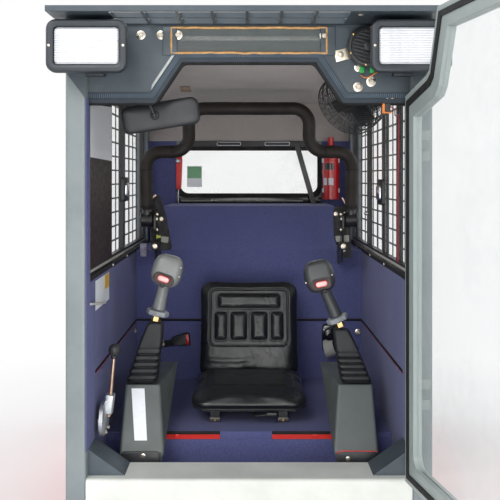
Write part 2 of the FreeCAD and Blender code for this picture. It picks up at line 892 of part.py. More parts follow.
def lower_carpet():
    """The carpeted panels below the seam: both side walls and the wall behind the seat."""
    back = s.bulkhead_back + s.trim
    panels = [box("lower_bulkhead", (-s.inner_half, s.inner_half), (s.bulkhead_back, back),
                  (s.platform_top - s.trim - s.sheet, s.tub_top))]
    for name, side in SIDES:
        panels.append(box(f"{name}_lower_trim", spread(side, s.inner_half, WALL_IN),
                          (SILL_BACK, back), (FLOOR, s.tub_top)))
    keep(fuse("lower_panels", panels), "lower_carpet")


def upper_bulkhead():
    """The carpeted wall above the seam, bent back into the ledge."""
    front = s.bulkhead_back
    outline = [(front, CAB_FOOT), (front + s.trim, CAB_FOOT), (front + s.trim, s.ledge_top - s.trim),
               (WALL_BACK, s.ledge_top - s.trim), (WALL_BACK, s.ledge_top), (front, s.ledge_top)]
    body = plate("upper_bulkhead", "YZ_Plane", outline, (-s.inner_half, s.inner_half))
    keep(body, "upper_bulkhead")


def shelf_box():
    """The carpeted box on the ledge, with its sloped front."""
    outline = [(s.bulkhead_back, s.ledge_top), (WALL_BACK - s.rear_rubber / 2, s.ledge_top),
               (WALL_BACK - s.rear_rubber / 2, s.shelf_top), (s.shelf_back, s.shelf_top)]
    body = plate("shelf_box", "YZ_Plane", outline, (-s.shelf_half, s.shelf_half))
    top = s.shelf_top.number

    def nose(edge):
        spot = edge.CenterOfMass
        return abs(spot.z - top) < 1e-6 and abs(spot.y - s.shelf_back.number) < 1e-6

    round_off(body, "shelf_box_round", s.trim * 2, nose)
    keep(body, "shelf_box")


def side_carpet(label, side):
    """The carpeted panel under one side window."""
    return box(label, spread(side, s.inner_half, WALL_IN), (SIDE_FRONT, WALL_BACK),
               (CAB_FOOT, s.window_low - s.trim))


def headliner():
    """The ceiling panel, turned down at the back to the rear window."""
    drop = s.rear_glass_high + s.rear_rubber * 2.35
    front, back = HEADER_BACK + s.edge_trim_deep, WALL_BACK
    under = s.ceiling
    outline = [(front, under), (back - s.trim, under), (back - s.trim, drop), (back, drop),
               (back, under + s.trim), (front, under + s.trim)]
    keep(plate("headliner", "YZ_Plane", outline, (-WALL_IN, WALL_IN)), "headliner")


def rear_light():
    """The black light strip between the rear window and the ceiling panel."""
    half = s.rear_glass_half
    low = s.rear_glass_high + s.rear_rubber
    high = s.rear_glass_high + s.rear_rubber * 2.35
    body = box("rear_light", (-half, half), (WALL_BACK - s.trim * 2, WALL_BACK), (low, high))
    keep(body, "rear_light")


def lamp_corners(side, inset):
    """The face of a lamp body with its corners cut, drawn in by an inset."""
    low, high = spread(side, s.lamp_inner + inset, s.lamp_inner + s.lamp_wide - inset)
    foot, head = s.lamp_low + inset, s.lamp_low + s.lamp_tall - inset
    small, large = s.lamp_taper * 0.3, s.lamp_taper
    outline = []
    for x, z, across, up in ((low, foot, 1, 1), (high, foot, -1, 1), (high, head, -1, -1), (low, head, 1, -1)):
        corner = [(x, z + large * up), (x + small * across, z + small * up), (x + large * across, z)]
        outline += corner if across == up else corner[::-1]
    return outline


def lamp(label, side):
    """A work lamp on the header: a tapered housing with a bezel, on its foot."""
    face = -s.lamp_reach
    back = HEADER_FRONT - s.lamp_foot
    body = DOC.addObject("PartDesign::Body", f"{label}_lamp")
    front = sketch_on(body, f"{label}_lamp_face", "XZ_Plane", [lamp_corners(side, 0)], -face)
    rear = sketch_on(body, f"{label}_lamp_back", "XZ_Plane",
                     [lamp_corners(side, s.lamp_taper)], -back)
    loft = body.newObject("PartDesign::AdditiveLoft", f"{label}_lamp_loft")
    loft.Profile = front
    loft.Sections = [rear]
    loft.Ruled = True
    DOC.recompute()
    opening = sketch_on(body, f"{label}_lens_seat", "XZ_Plane",
                        [lamp_corners(side, s.lamp_bezel)], -face)
    seat = body.newObject("PartDesign::Pocket", f"{label}_lens_recess")
    seat.Profile = opening
    seat.Reversed = False
    bind(seat, "Length", s.lens_thick)
    body.Tip = seat
    middle = side * (s.lamp_inner + s.lamp_wide / 2)
    level = s.lamp_low + s.lamp_tall / 2
    foot = box(f"{label}_lamp_foot", (middle - s.lamp_bezel, middle + s.lamp_bezel),
               (back, back + s.lamp_foot), (level - s.lamp_bezel, level + s.lamp_bezel))
    return fuse(f"{label}_housing", [body, foot])


def lamp_lens(label, side):
    """The lens, set just inside its bezel."""
    face = -s.lamp_reach
    span = (face + s.lens_inset, face + s.lens_thick)
    return plate(label, "XZ_Plane", lamp_corners(side, s.lamp_bezel), span)


def horn():
    """The round finned horn on the header, beside the right lamp."""
    depth = s.horn_deep
    radius = s.horn_radius
    foot = rod("horn_foot", radius * 0.75, depth / 2,
               (s.horn_side, HEADER_FRONT - depth / 2, s.horn_level), "Y")
    disc = rod("horn_disc", radius, depth / 2, (s.horn_side, HEADER_FRONT - depth, s.horn_level), "Y")
    fins = []
    for i in range(-2, 3):
        level = s.horn_level + radius * (i * 0.3)
        fins.append(box(f"horn_slot_{i + 3}", (s.horn_side - radius * 0.6, s.horn_side + radius * 0.6),
                        (HEADER_FRONT - depth - 1, HEADER_FRONT - depth * 0.7),
                        (level - radius * 0.06, level + radius * 0.06)))
    keep(cut("horn", fuse("horn_body", [foot, disc]), fins), "horn")


def door_outline(inset):
    """The door's outline, drawn in by an inset: level shoulders and a raised head."""
    side = s.inner_half - s.door_gap - inset
    foot = s.sill_top + s.door_gap + inset
    low = [(-side, foot), (side, foot)]
    right = [(side, s.opening_side - inset), (s.door_elbow_side - inset, s.door_elbow - inset),
             (s.door_raise_side - inset, s.door_raise - inset * 0.8),
             (s.door_head_side - inset, s.door_head - inset)]
    left = [(-x, z) for x, z in right[::-1]]
    return low + right + left


def swing(body):
    """Turn a door piece about the hinge line to where the door stands open."""
    hinge = Vector(s.hinge_side.number, (FRONT - s.hinge_ahead).number, 0)
    turn = Rotation(Vector(0, 0, 1), s.door_open.number)
    body.Placement = Placement(Vector(), turn, hinge)


def door_frame():
    """The door frame around its large window, with rounded window corners."""
    span = (FRONT, FRONT + s.door_thick)
    body = plate("door_frame", "XZ_Plane", door_outline(0), span, [door_outline(s.door_rail)])
    DOC.recompute()
    across = runs_along("Y")
    reach = (s.inner_half - s.door_gap - s.door_rail).number
    foot = (s.sill_top + s.door_gap + s.door_rail).number

    def lower_hole_corner(edge):
        spot = edge.CenterOfMass
        return across(edge) and abs(abs(spot.x) - reach) < 1e-6 and abs(spot.z - foot) < 1e-6

    round_off(body, "door_frame_round", s.door_rail * 0.6, lower_hole_corner)
    keep(body, "door_frame")
    swing(body)


def door_glass():
    """The door's pane, set in the middle of the frame."""
    middle = FRONT + s.door_thick / 2
    span = (middle - s.glass / 2, middle + s.glass / 2)
    body = plate("door_glass", "XZ_Plane", door_outline(s.door_rail), span)
    across = runs_along("Y")
    foot = (s.sill_top + s.door_gap + s.door_rail).number

    def lower_corner(edge):
        return across(edge) and abs(edge.CenterOfMass.z - foot) < 1e-6

    round_off(body, "door_glass_round", s.door_rail * 0.6, lower_corner)
    keep(body, "door_glass")
    swing(body)


def door_seal():
    """The rubber seal around the inner face of the door."""
    back = FRONT + s.door_thick
    margin = s.door_rail / 4
    outer = door_outline(margin)
    inner = door_outline(margin * 2)
    body = plate("door_seal", "XZ_Plane", outer, (back, back + s.door_gap / 2), [inner])
    keep(body, "door_seal")
    swing(body)


def door_handle():
    """The grab handle on the door's inner face."""
    back = FRONT + s.door_thick
    middle = s.inner_half - s.door_gap - s.door_rail * 0.74
    level = s.opening_side - s.hinge_tall * 1.3
    reach, inner = s.hinge_tall * 0.7, s.hinge_tall * 0.5
    far, near = back + s.door_rail, back + s.door_rail * 0.65
    outline = [(back, level - reach), (far, level - reach), (far, level + reach), (back, level + reach),
               (back, level + inner), (near, level + inner), (near, level - inner), (back, level - inner)]
    grip = plate("door_handle", "YZ_Plane", outline,
                 (-middle - s.hinge_barrel, -middle + s.hinge_barrel))
    keep(grip, "door_handle")
    swing(grip)


def hinge_levels():
    """The foot of each hinge."""
    return (s.hinge_low, s.hinge_high)


def hinge_knuckle(name, low, high, bore):
    """One knuckle of a hinge around the pin, bored or solid."""
    axis = (s.hinge_side, FRONT - s.hinge_ahead)
    barrel = rod(name, s.hinge_barrel, high - low, (axis[0], axis[1], low))
    if not bore:
        return barrel
    hole = rod(name + "_bore", s.hinge_pin + 0.05, high - low + 2, (axis[0], axis[1], low - 1))
    return cut(name + "_bored", barrel, [hole])


def door_hinges():
    """Two hinges: outer knuckles and pins on the pillar, middle knuckles on the door."""
    fixed = []
    moving = []
    third = s.hinge_tall / 3
    slack = 0.5
    leaf = s.sheet * 0.65
    face = FRONT
    for i, foot in enumerate(hinge_levels(), start=1):
        head = foot + s.hinge_tall
        bottom = hinge_knuckle(f"hinge_{i}_bottom", foot, foot + third, False)
        top = hinge_knuckle(f"hinge_{i}_top", head - third, head, False)
        pin = rod(f"hinge_{i}_pin", s.hinge_pin, s.hinge_tall,
                  (s.hinge_side, FRONT - s.hinge_ahead, foot))
        low_leaf = box(f"hinge_{i}_low_leaf", (s.hinge_side, s.outer_half - s.pillar_round),
                       (face - leaf, face), (foot, foot + third))
        high_leaf = box(f"hinge_{i}_high_leaf", (s.hinge_side, s.outer_half - s.pillar_round),
                        (face - leaf, face), (head - third, head))
        fixed += [bottom, top, pin, low_leaf, high_leaf]
        knuckle = hinge_knuckle(f"hinge_{i}_middle", foot + third + slack, head - third - slack, False)
        plate_leaf = box(f"hinge_{i}_door_leaf", (s.inner_half - s.door_rail, s.hinge_side),
                         (face - leaf, face), (foot + third + slack, head - third - slack))
        bore = rod(f"hinge_{i}_bore", s.hinge_pin + 0.05, s.hinge_tall,
                   (s.hinge_side, FRONT - s.hinge_ahead, foot))
        moving.append(cut(f"hinge_{i}_moving", fuse(f"hinge_{i}_leafed", [knuckle, plate_leaf]), [bore]))
    keep(fuse("door_hinge_fixed", fixed), "door_hinge_fixed")
    leaves = fuse("door_hinge_leaves", moving)
    keep(leaves, "door_hinge_leaves")
    swing(leaves)


def bar_point(side, out, up):
    """A point on the lap bar's leaning plane, counted from its pivot."""
    back = s.bar_pivot_back.number - s.bar_lean.number * up / s.bar_cross.number
    return Vector(side * out, back, s.bar_pivot_level.number + up)


def lap_bar():
    """The foam-covered restraint bar: two arms, shoulders and a raised crossbar."""
    start = s.hub_radius.number + s.hub_half.number * 0.6
    points = []
    out, neck = s.bar_side.number, s.bar_neck.number
    shoulder, cross = s.bar_shoulder.number, s.bar_cross.number
    for side in (-1, 1):
        arm = [bar_point(side, out, start), bar_point(side, out, shoulder),
               bar_point(side, neck, shoulder), bar_point(side, neck, cross)]
        points += arm if side < 0 else arm[::-1]
    shape = bent_bar(points, s.bar_bend.number, s.bar_tube.number)
    keep(shape_part("lap_bar", shape), "lap_bar")


def lap_bar_hubs():
    """The pivot hubs: a drum and socket at each arm, with the pin through its bracket."""
    pieces = []
    level, back = s.bar_pivot_level.number, s.bar_pivot_back.number
    lean = math.degrees(math.atan2(s.bar_lean.number, s.bar_cross.number))
    arm_axis = Rotation(Vector(1, 0, 0), lean).multVec(Vector(0, 0, 1))
    length = s.hub_radius.number + s.hub_half.number * 0.6
    scale = math.hypot(s.bar_lean.number, s.bar_cross.number) / s.bar_cross.number
    for side in (-1, 1):
        pivot = Vector(side * s.bar_side.number, back, level)
        inner = side * (s.bar_side.number - s.hub_half.number)
        drum = many_sided(s.hub_radius.number, 2 * s.hub_half.number, 0, 24)
        drum.Placement = Placement(Vector(inner, back, level), Rotation(Vector(0, 0, 1), Vector(side, 0, 0)))
        socket = many_sided(s.hub_socket.number, length * scale, 0)
        socket.Placement = Placement(pivot, Rotation(Vector(0, 0, 1), arm_axis))
        pin_reach = s.bracket_gap.number + s.bracket_plate.number + s.bracket_gap.number
        pin = Part.makeCylinder(s.pin_radius.number, pin_reach + s.hub_half.number,
                                Vector(inner - side * pin_reach, back, level), Vector(side, 0, 0))
        pieces.append(drum.fuse([socket, pin]).removeSplitter())
    keep(shape_part("lap_bar_hubs", Part.makeCompound(pieces)), "lap_bar_hubs")


def bar_bracket(label, side):
    """The plate on the bulkhead that carries one end of the lap bar."""
    out = s.bar_side - s.hub_half - s.bracket_gap
    near, far = spread(side, out - s.bracket_plate, out)
    pivot_y, pivot_z = s.bar_pivot_back, s.bar_pivot_level
    reach = s.hub_radius * 1.2
    foot = s.ledge_top - s.hub_radius * 2
    outline = [(s.bulkhead_back, foot), (s.bulkhead_back, s.ledge_top),
               (pivot_y + reach, pivot_z + reach * 0.6), (pivot_y + reach * 0.4, pivot_z + reach),
               (pivot_y - reach * 0.6, pivot_z + reach), (pivot_y - reach, pivot_z + reach * 0.4),
               (pivot_y - reach, pivot_z - reach), (pivot_y + reach * 0.5, s.ledge_top - reach)]
    body = plate(label, "YZ_Plane", outline, (near, far),
                 circles=[(pivot_y, pivot_z, s.pin_radius + 0.05)])
    return body


SOFT_GAP = 0.3


def seat_rails():
    """The two floor rails that the seat slides on."""
    rails = []
    half = s.rail_wide / 6
    for name, side in SIDES:
        middle = s.rail_side * side
        rails.append(box(f"{name}_seat_rail", (middle - half, middle + half),
                         (-s.rail_reach, s.rail_reach * 0.4),
                         (s.platform_top, s.platform_top + s.trim * 2)))
    keep(fuse("seat_rails", rails), "seat_rails")


def seat_frame():
    """The seat pan, and the runners that sit on the floor rails."""
    rail_head = s.platform_top + s.trim * 2 + SOFT_GAP
    under = s.cushion_under - s.sheet * 2
    half = s.rail_wide / 5
    pan = box("seat_pan", (-s.back_half * 0.85, s.back_half * 0.85),
              (-s.rail_reach - s.sheet, s.back_thick * 1.1), (under, s.cushion_under))
    pieces = [pan]
    for name, side in SIDES:
        middle = s.rail_side * side
        pieces.append(box(f"{name}_seat_runner", (middle - half, middle + half),
                          (-s.rail_reach, s.back_thick), (rail_head, under)))
    keep(fuse("seat_frame", pieces), "seat_frame")


def seat_cushion():
    """The cushion, falling towards the crease, with a round front."""
    foot = s.cushion_under + SOFT_GAP
    outline = [(-s.cushion_reach, foot), (-SOFT_GAP, foot), (-SOFT_GAP, s.cushion_crease),
               (-s.cushion_reach, s.cushion_front)]
    body = plate("seat_cushion", "YZ_Plane", outline, (-s.cushion_half, s.cushion_half))
    front = -s.cushion_reach.number

    def front_edge(edge):
        spot = edge.CenterOfMass
        return abs(spot.y - front) < 1e-6 and spot.z > s.cushion_under.number + 1

    round_off(body, "cushion_nose", (s.cushion_front - s.cushion_under) * 0.42, front_edge)
    keep(body, "seat_cushion")


def seat_back():
    """The leaning backrest, with rounded top corners."""
    foot = s.cushion_under + SOFT_GAP
    outline = [(SOFT_GAP, foot), (s.back_thick, foot), (s.back_rest + s.back_thick, s.back_top - s.sheet),
               (s.back_rest, s.back_top), (SOFT_GAP, s.cushion_crease)]
    body = plate("seat_back", "YZ_Plane", outline, (-s.back_half, s.back_half))
    top = (s.back_top - s.sheet).number

    def top_corner(edge):
        box_of = edge.BoundBox
        return box_of.XLength < 1e-6 and box_of.ZMin > top - 1

    round_off(body, "back_corners", s.back_thick * 0.9, top_corner)
    keep(body, "seat_back")


def half_space(point, normal, reach=2000):
    """A large block on one side of a plane."""
    block = Part.makeBox(reach, reach, reach, Vector(-reach / 2, -reach / 2, 0))
    block.Placement = Placement(point, Rotation(Vector(0, 0, 1), normal))
    return block


def pod(label, side):
    """A console beside the seat: sloped front, leaning back, drawn in at the top."""
    foot_y, top_y, rear_y = -s.pod_foot_reach.number, -s.pod_top_reach.number, -s.pod_rear.number
    skirt_y = (PLATFORM_FRONT - s.trim).number
    profile = [(foot_y, FLOOR.number), (foot_y, s.pod_foot.number), (top_y, s.pod_top.number),
               (rear_y, s.pod_rear_top.number), (rear_y, s.pod_rear_top.number - s.gusset_tall.number / 2),
               (skirt_y + s.pod_outer.number / 8, s.platform_top.number),
               (skirt_y, s.platform_top.number), (skirt_y, FLOOR.number)]
    inmost = s.pod_rear_inner.number - s.pod_outer.number / 8
    points = [Vector(inmost, y, z) for y, z in profile]
    face = Part.Face(Part.makePolygon(points + points[:1]))
    solid = face.extrude(Vector(s.pod_outer.number - inmost, 0, 0))
    front_foot = Vector(s.pod_inner.number, foot_y, s.pod_foot.number)
    front_top = Vector(s.pod_top_inner.number, top_y, s.pod_top.number)
    rear_top = Vector(s.pod_rear_inner.number, rear_y, s.pod_rear_top.number)
    rear_foot = Vector(s.pod_inner.number + s.sheet.number * 2, skirt_y, s.platform_top.number)
    flank = (rear_top - front_foot).cross(rear_foot - front_foot)
    bevel = (front_top - front_foot).cross(rear_top - front_foot)
    for normal in (flank, bevel):
        if normal.x > 0:
            normal = -normal
        solid = solid.cut(half_space(front_foot, normal.normalize()))
    long_edges = []
    for edge in solid.Edges:
        middle = edge.CenterOfMass
        if foot_y < middle.y < top_y and middle.z > s.pod_foot.number + 1:
            long_edges.append(edge)
    solid = solid.makeFillet(s.pillar_round.number, long_edges)
    if side < 0:
        solid = solid.mirror(Vector(), Vector(1, 0, 0))
    return shape_part(label, solid)


LEVER_LEAN = {-1: 13, 1: 23}
NUT_SHARE = 0.65


def lever_foot(side):
    """The middle of a boot's foot on its pod."""
    across = (s.pod_top_inner.number + s.pod_outer.number) / 2
    back = -s.lever_reach.number
    rise = (s.pod_rear_top.number - s.pod_top.number) / (s.pod_top_reach.number - s.pod_rear.number)
    level = s.pod_top.number + rise * (back + s.pod_top_reach.number + s.boot_half.number)
    return Vector(side * across, back, level + SOFT_GAP)


def boot_top(side):
    """The middle of a boot's small upper end."""
    foot = lever_foot(side)
    return foot + Vector(-side * s.boot_half.number * 0.85, 0, s.boot_tall.number)


def boot(label, side):
    """A ribbed rubber boot that narrows towards the lever."""
    foot = lever_foot(side)
    top = boot_top(side)
    half, tall = s.boot_half.number, s.boot_tall.number
    ribs = int(s.boot_ribs.number)
    pitch = tall * 0.53 / ribs
    flange = half + s.boot_flange.number
    steps = [(0, flange), (s.boot_flange.number, flange)]
    for i in range(ribs):
        outer = half - i * half * 0.07
        start = s.boot_flange.number + i * pitch
        steps += [(start + pitch * 0.3, outer * 0.86), (start + pitch * 0.65, outer)]
    neck = half * 0.62
    steps += [(tall * 0.58, neck), (tall * 0.9, half * 0.5), (tall, half * 0.46)]
    sections = []
    for rise, size in steps:
        share = max(0.0, (rise / tall - 0.05) / 0.95)
        middle = foot + (top - foot) * share
        sections.append(soft_section(size, size, size * 0.42, foot.z + rise, (middle.x, middle.y)))
    return shape_part(label, stacked(sections))


def lever_frame(side):
    """Where a lever starts and how it leans."""
    angle = LEVER_LEAN[side]
    rise = SOFT_GAP + s.grip_radius.number * NUT_SHARE * math.sin(math.radians(angle))
    lean = Rotation(Vector(0, 1, 0), -side * angle)
    return Placement(boot_top(side) + Vector(0, 0, rise), lean)


def joystick(label, side):
    """A lever: collar, waisted grip, and the broad head with its rounded crown."""
    grip, collar = s.grip_radius.number, s.collar_radius.number
    start = grip
    shoulder, tall = start + s.collar_tall.number, s.grip_tall.number
    profile = [(collar, start), (collar, shoulder), (grip, shoulder + grip * 0.4),
               (grip * 0.85, start + tall * 0.55), (grip, start + tall)]
    stem = turned(profile, 16)
    base = start + tall * 0.87
    # each row: share of the head's height, then of its half width and half depth
    steps = [(0, 0.5, 0.55), (0.14, 0.84, 0.85), (0.4, 1.0, 1.0), (0.7, 0.94, 0.9), (0.9, 0.74, 0.68),
             (1, 0.45, 0.4)]
    half_wide, half_deep = grip * 2.55, grip * 1.9
    sections = []
    for rise, wide, deep in steps:
        u, v = half_wide * wide, half_deep * deep
        sections.append(soft_section(u, v, min(u, v) * 0.55, base + rise * s.grip_head.number))
    head = stacked(sections)
    solid = stem.fuse(head).removeSplitter()
    solid.Placement = lever_frame(side)
    return shape_part(label, solid)


def lever_nuts():
    """The brass nuts between the boots and the collars."""
    nuts = []
    for name, side in SIDES:
        size, tall = s.grip_radius.number * NUT_SHARE, s.grip_radius.number
        nut = stacked([round_section(size, level, 6) for level in (0, tall)])
        nut.Placement = lever_frame(side)
        nuts.append(nut)
    keep(shape_part("lever_nuts", Part.makeCompound(nuts)), "lever_nuts")


def round_ball(radius, steps=7):
    """A ball made of bands of flat faces."""
    angles = [math.radians(160 * i / steps - 80) for i in range(steps + 1)]
    return stacked([round_section(radius * math.cos(angle), radius * math.sin(angle)) for angle in angles])


def brake_lever():
    """The ratchet lever on the left wall, with its ball knob."""
    wall = -s.inner_half.number
    thick = s.sheet.number
    reach = -s.pod_foot_reach.number - thick
    low = s.platform_top.number + s.gusset_tall.number * 0.55
    profile = [(reach - 38, low), (reach + 4, low - 6), (reach + 30, low + 30), (reach + 26, low + 78),
               (reach + 2, low + 108), (reach - 20, low + 104), (reach - 42, low + 62)]
    plate_x = wall + thick * 3
    points = [Vector(plate_x, y, z) for y, z in profile]
    sector = Part.Face(Part.makePolygon(points + points[:1])).extrude(Vector(thick, 0, 0))
    stand_off = Part.makeBox(thick * 3, 24, 40, Vector(wall, reach - 12, low + 12))
    foot = Vector(plate_x + thick / 2, reach - 8, low + 60)
    top = Vector(wall + thick * 9, reach - thick * 3, low + s.brake_tall.number)
    bar = Part.makeCylinder(thick, (top - foot).Length, foot, top - foot)
    solid = sector.fuse([stand_off, bar]).removeSplitter()
    ball = round_ball(s.grip_radius.number)
    ball.Placement = Placement(top, Rotation())
    keep(shape_part("brake_lever", solid.cut(ball)), "brake_lever")
    keep(shape_part("brake_knob", ball), "brake_knob")


def mirror():
    """The rear-view mirror under the header, tilted, on its ball joint."""
    half, tall = s.mirror_half.number, s.mirror_tall.number / 2
    deep, corner = s.rear_wall.number, s.mirror_tall.number / 4
    bevel, margin, thick = deep * 0.35, 8, 4
    sections = [soft_section(half - bevel, tall - bevel, corner - bevel / 2, 0),
                soft_section(half, tall, corner, bevel), soft_section(half, tall, corner, deep)]
    housing = stacked(sections)
    pane = stacked([soft_section(half - margin, tall - margin, corner - margin / 2, level)
                    for level in (deep - thick, deep)])
    housing = housing.cut(pane)
    back_y = HEADER_BACK.number + s.lamp_inner.number / 8
    centre = Vector(-s.mirror_half.number * 2.26, back_y, s.opening_side.number - s.mirror_drop.number)
    upright = Rotation(Vector(1, 0, 0), -90)
    tilt = Rotation(Vector(0, 1, 0), -9)
    seat = Placement(centre, tilt.multiply(upright))
    housing.Placement = seat
    pane.Placement = seat
    clamp_wide = s.mirror_clamp.number
    joint = centre + Vector(-clamp_wide * 0.4, 0, 0)
    ball = round_ball(deep / 2)
    ball.Placement = Placement(joint - Vector(0, deep / 4, 0), Rotation())
    top = Vector(joint.x - clamp_wide * 0.55, HEADER_BACK.number + clamp_wide * 0.15,
                 s.opening_side.number + clamp_wide * 0.35)
    stem = Part.makeCylinder(5, (top - ball.CenterOfMass).Length, ball.CenterOfMass,
                             top - ball.CenterOfMass)
    clamp = Part.makeBox(clamp_wide, clamp_wide * 0.3, clamp_wide,
                         Vector(joint.x - clamp_wide * 1.1, HEADER_BACK.number, s.opening_side.number))
    arm = ball.fuse([stem, clamp]).removeSplitter().cut(housing)
    keep(shape_part("mirror_housing", housing.fuse(arm).removeSplitter()), "mirror_housing")
    keep(shape_part("mirror_glass", pane), "mirror_glass")


def many_sided(radius, tall, level, sides=20):
    """A level disc with many short straight sides."""
    return stacked([round_section(radius, height, sides) for height in (level, level + tall)])


def ring(radius, wire, level):
    """A thin ring about Z, bent from short straight runs."""
    outer = many_sided(radius + wire / 2, wire, level - wire / 2)
    return outer.cut(many_sided(radius - wire / 2, wire, level - wire / 2))


FAN_AIM = Vector(-0.35, 0.85, -0.4).normalize()


def fan():
    """The wire-cage cabin fan: cage, motor on its bracket, and the bladed rotor."""
    radius, deep = s.fan_radius.number, s.fan_deep.number
    wire = s.fan_wire.number
    half = deep / 2
    pieces = []
    for share in (0.62, 1.0):
        pieces.append(ring(radius * share, wire, half))
    pieces.append(ring(radius, wire, -half))
    pieces.append(ring(radius, wire, 0))
    spokes = 6
    for i in range(spokes):
        turn = Rotation(Vector(0, 0, 1), 360 * i / spokes)
        inner = radius * 0.24
        front = Part.makeBox(radius - inner, wire, wire, Vector(inner, -wire / 2, half - wire / 2))
        back_start = radius * 0.38
        back = Part.makeBox(radius - back_start, wire, wire, Vector(back_start, -wire / 2, -half - wire / 2))
        side = Part.makeBox(wire, wire, deep, Vector(radius - wire / 2, -wire / 2, -half))
        for piece in (front, back, side):
            piece.Placement = Placement(Vector(), turn).multiply(piece.Placement)
            pieces.append(piece)
    pieces.append(many_sided(radius * 0.3, wire * 1.6, half - wire * 0.8))
    cage = pieces[0].fuse(pieces[1:])
    motor = many_sided(radius * 0.4, deep * 0.45, -half - deep * 0.3)
    shaft = Part.makeCylinder(4, deep * 0.25, Vector(0, 0, -half + deep * 0.15))
    motor = motor.fuse(shaft)
    middle = Vector(s.fan_side.number, -s.fan_reach.number, (s.ceiling - s.fan_drop).number)
    seat = Placement(middle, Rotation(Vector(0, 0, 1), FAN_AIM))
    hub = many_sided(radius * 0.22, deep * 0.3, -half + deep * 0.3)
    blades = []
    for i in range(4):
        blade = Part.makeBox(radius * 0.66, radius * 0.5, 3, Vector(radius * 0.18, -radius * 0.25, -1.5))
        blade.Placement = Placement(Vector(0, 0, -half + deep * 0.45),
                                    Rotation(Vector(0, 0, 1), 90 * i).multiply(Rotation(Vector(1, 0, 0), 24)))
        blades.append(blade)
    disc = many_sided(radius * 0.86, deep * 0.5, -half + deep * 0.22)
    rotor = hub.fuse(blades).common(disc).removeSplitter()
    bore = Part.makeCylinder(4.05, deep, Vector(0, 0, -half))
    rotor = rotor.cut(bore)
    cage = cage.fuse(motor)
    cage.Placement = seat
    rotor.Placement = seat
    tail = seat.multVec(Vector(0, 0, -half - deep * 0.2))
    stem = many_sided(s.pin_radius.number, s.ceiling.number - tail.z, 0, 12)
    stem.Placement = Placement(tail, Rotation())
    foot = many_sided(s.pin_radius.number * 2.4, s.sheet.number, 0)
    foot.Placement = Placement(Vector(tail.x, tail.y, s.ceiling.number - s.sheet.number), Rotation())
    cage = cage.fuse([stem, foot]).removeSplitter()
    keep(shape_part("fan_cage", cage), "fan_cage")
    keep(shape_part("fan_rotor", rotor), "fan_rotor")


def belt_parts():
    """The seat belt's buckle on its stalk and its reel, on the bulkhead."""
    face = s.bulkhead_back
    low = s.cushion_front
    start = s.trim - s.shelf_half
    stop = start + s.stalk_long
    stalk = box("buckle_stalk", (start, stop), (face - s.stalk_tall / 2, face),
                (low + s.trim, low + s.trim + s.stalk_tall))
    housing = box("buckle_housing", (stop, stop + s.buckle_wide), (face - s.buckle_thick, face),
                  (low - 2, low - 2 + s.buckle_tall))
    buckle = fuse("belt_buckle", [stalk, housing])
    foot = low - s.buckle_thick
    reel = plate("belt_reel", "XZ_Plane",
                 rectangle(s.shelf_half - s.reel_wide, s.shelf_half, foot, foot + s.reel_tall),
                 (face - s.reel_thick, face))
    round_off(reel, "belt_reel_round", s.bar_tube, runs_along("Y"))
    keep(fuse("belt_hardware", [buckle, reel]), "seat_belt")


def extinguisher():
    """The fire extinguisher, strapped to the rear wall."""
    radius = s.bottle_radius
    centre_y = WALL_BACK - radius - s.glass
    foot = s.shelf_top + s.rear_wall
    r, tall = radius.number, s.bottle_tall.number
    bottle = turned([(r, 0), (r, tall * 0.76), (r * 0.35, tall * 0.88), (r * 0.35, tall)])
    bottle.Placement = Placement(Vector(s.bottle_side.number, centre_y.number, foot.number), Rotation())
    keep(shape_part("extinguisher", bottle), "extinguisher")
    level = (foot + s.bottle_tall * 0.4).number
    band_tall, half = s.rear_wall.number, s.rear_wall.number * 0.7
    band = many_sided(r + s.sheet.number / 2, band_tall, 0, 24).cut(many_sided(r, band_tall, 0, 24))
    band.Placement = Placement(Vector(s.bottle_side.number, centre_y.number, level), Rotation())
    thick = s.glass.number - 0.5
    back = Part.makeBox(half * 2, thick, band_tall * 5,
                        Vector(s.bottle_side.number - half, WALL_BACK.number - thick, level - band_tall * 2))
    keep(shape_part("extinguisher_bracket", band.fuse(back).removeSplitter()), "extinguisher_bracket")


def rear_strut():
    """The slanted stay across the rear window."""
    face = WALL_BACK - s.trim * 2
    foot, head = s.shelf_top.number, (s.rear_glass_high + s.rear_rubber * 2).number
    low_x, high_x = s.shelf_half.number * 0.84, s.slot_half.number
    wide = s.bottle_radius.number * 0.65
    points = [Vector(low_x - wide / 2, 0, foot), Vector(low_x + wide / 2, 0, foot),
              Vector(high_x + wide / 2, 0, head), Vector(high_x - wide / 2, 0, head)]
    bar = Part.Face(Part.makePolygon(points + points[:1])).extrude(Vector(0, -s.trim.number, 0))
    bar.Placement = Placement(Vector(0, face.number, 0), Rotation())
    keep(shape_part("rear_strut", bar), "rear_strut")


def build():
    """Make every sub-part."""
    base_frame()
    tub_shell()
    seam_seal()
    front_sill()
    platform()
    lower_carpet()
    upper_bulkhead()
    shelf_box()
    rear_wall()
    glazing()
    header()
    header_edge_trim()
    roof()
    visor()
    headliner()
    rear_light()
    horn()
    door_frame()
    door_glass()
    door_seal()
    door_handle()
    door_hinges()
    lap_bar()
    lap_bar_hubs()
    seat_rails()
    seat_frame()
    seat_cushion()
    seat_back()
    lever_nuts()
    brake_lever()
    mirror()
    fan()
    belt_parts()
    extinguisher()
    rear_strut()
    for name, side in SIDES:
        side_frame(f"{name}_side_frame", side)
        window_guard(f"{name}_window_guard", side)
    both("door_gussets", door_gusset)
    both("front_pillars", pillar)
    both("side_carpets", side_carpet)
    both("work_lamps", lamp)
    both("lamp_lenses", lamp_lens)
    both("bar_brackets", bar_bracket)
    both("pods", pod)
    both("lever_boots", boot)
    both("joysticks", joystick)


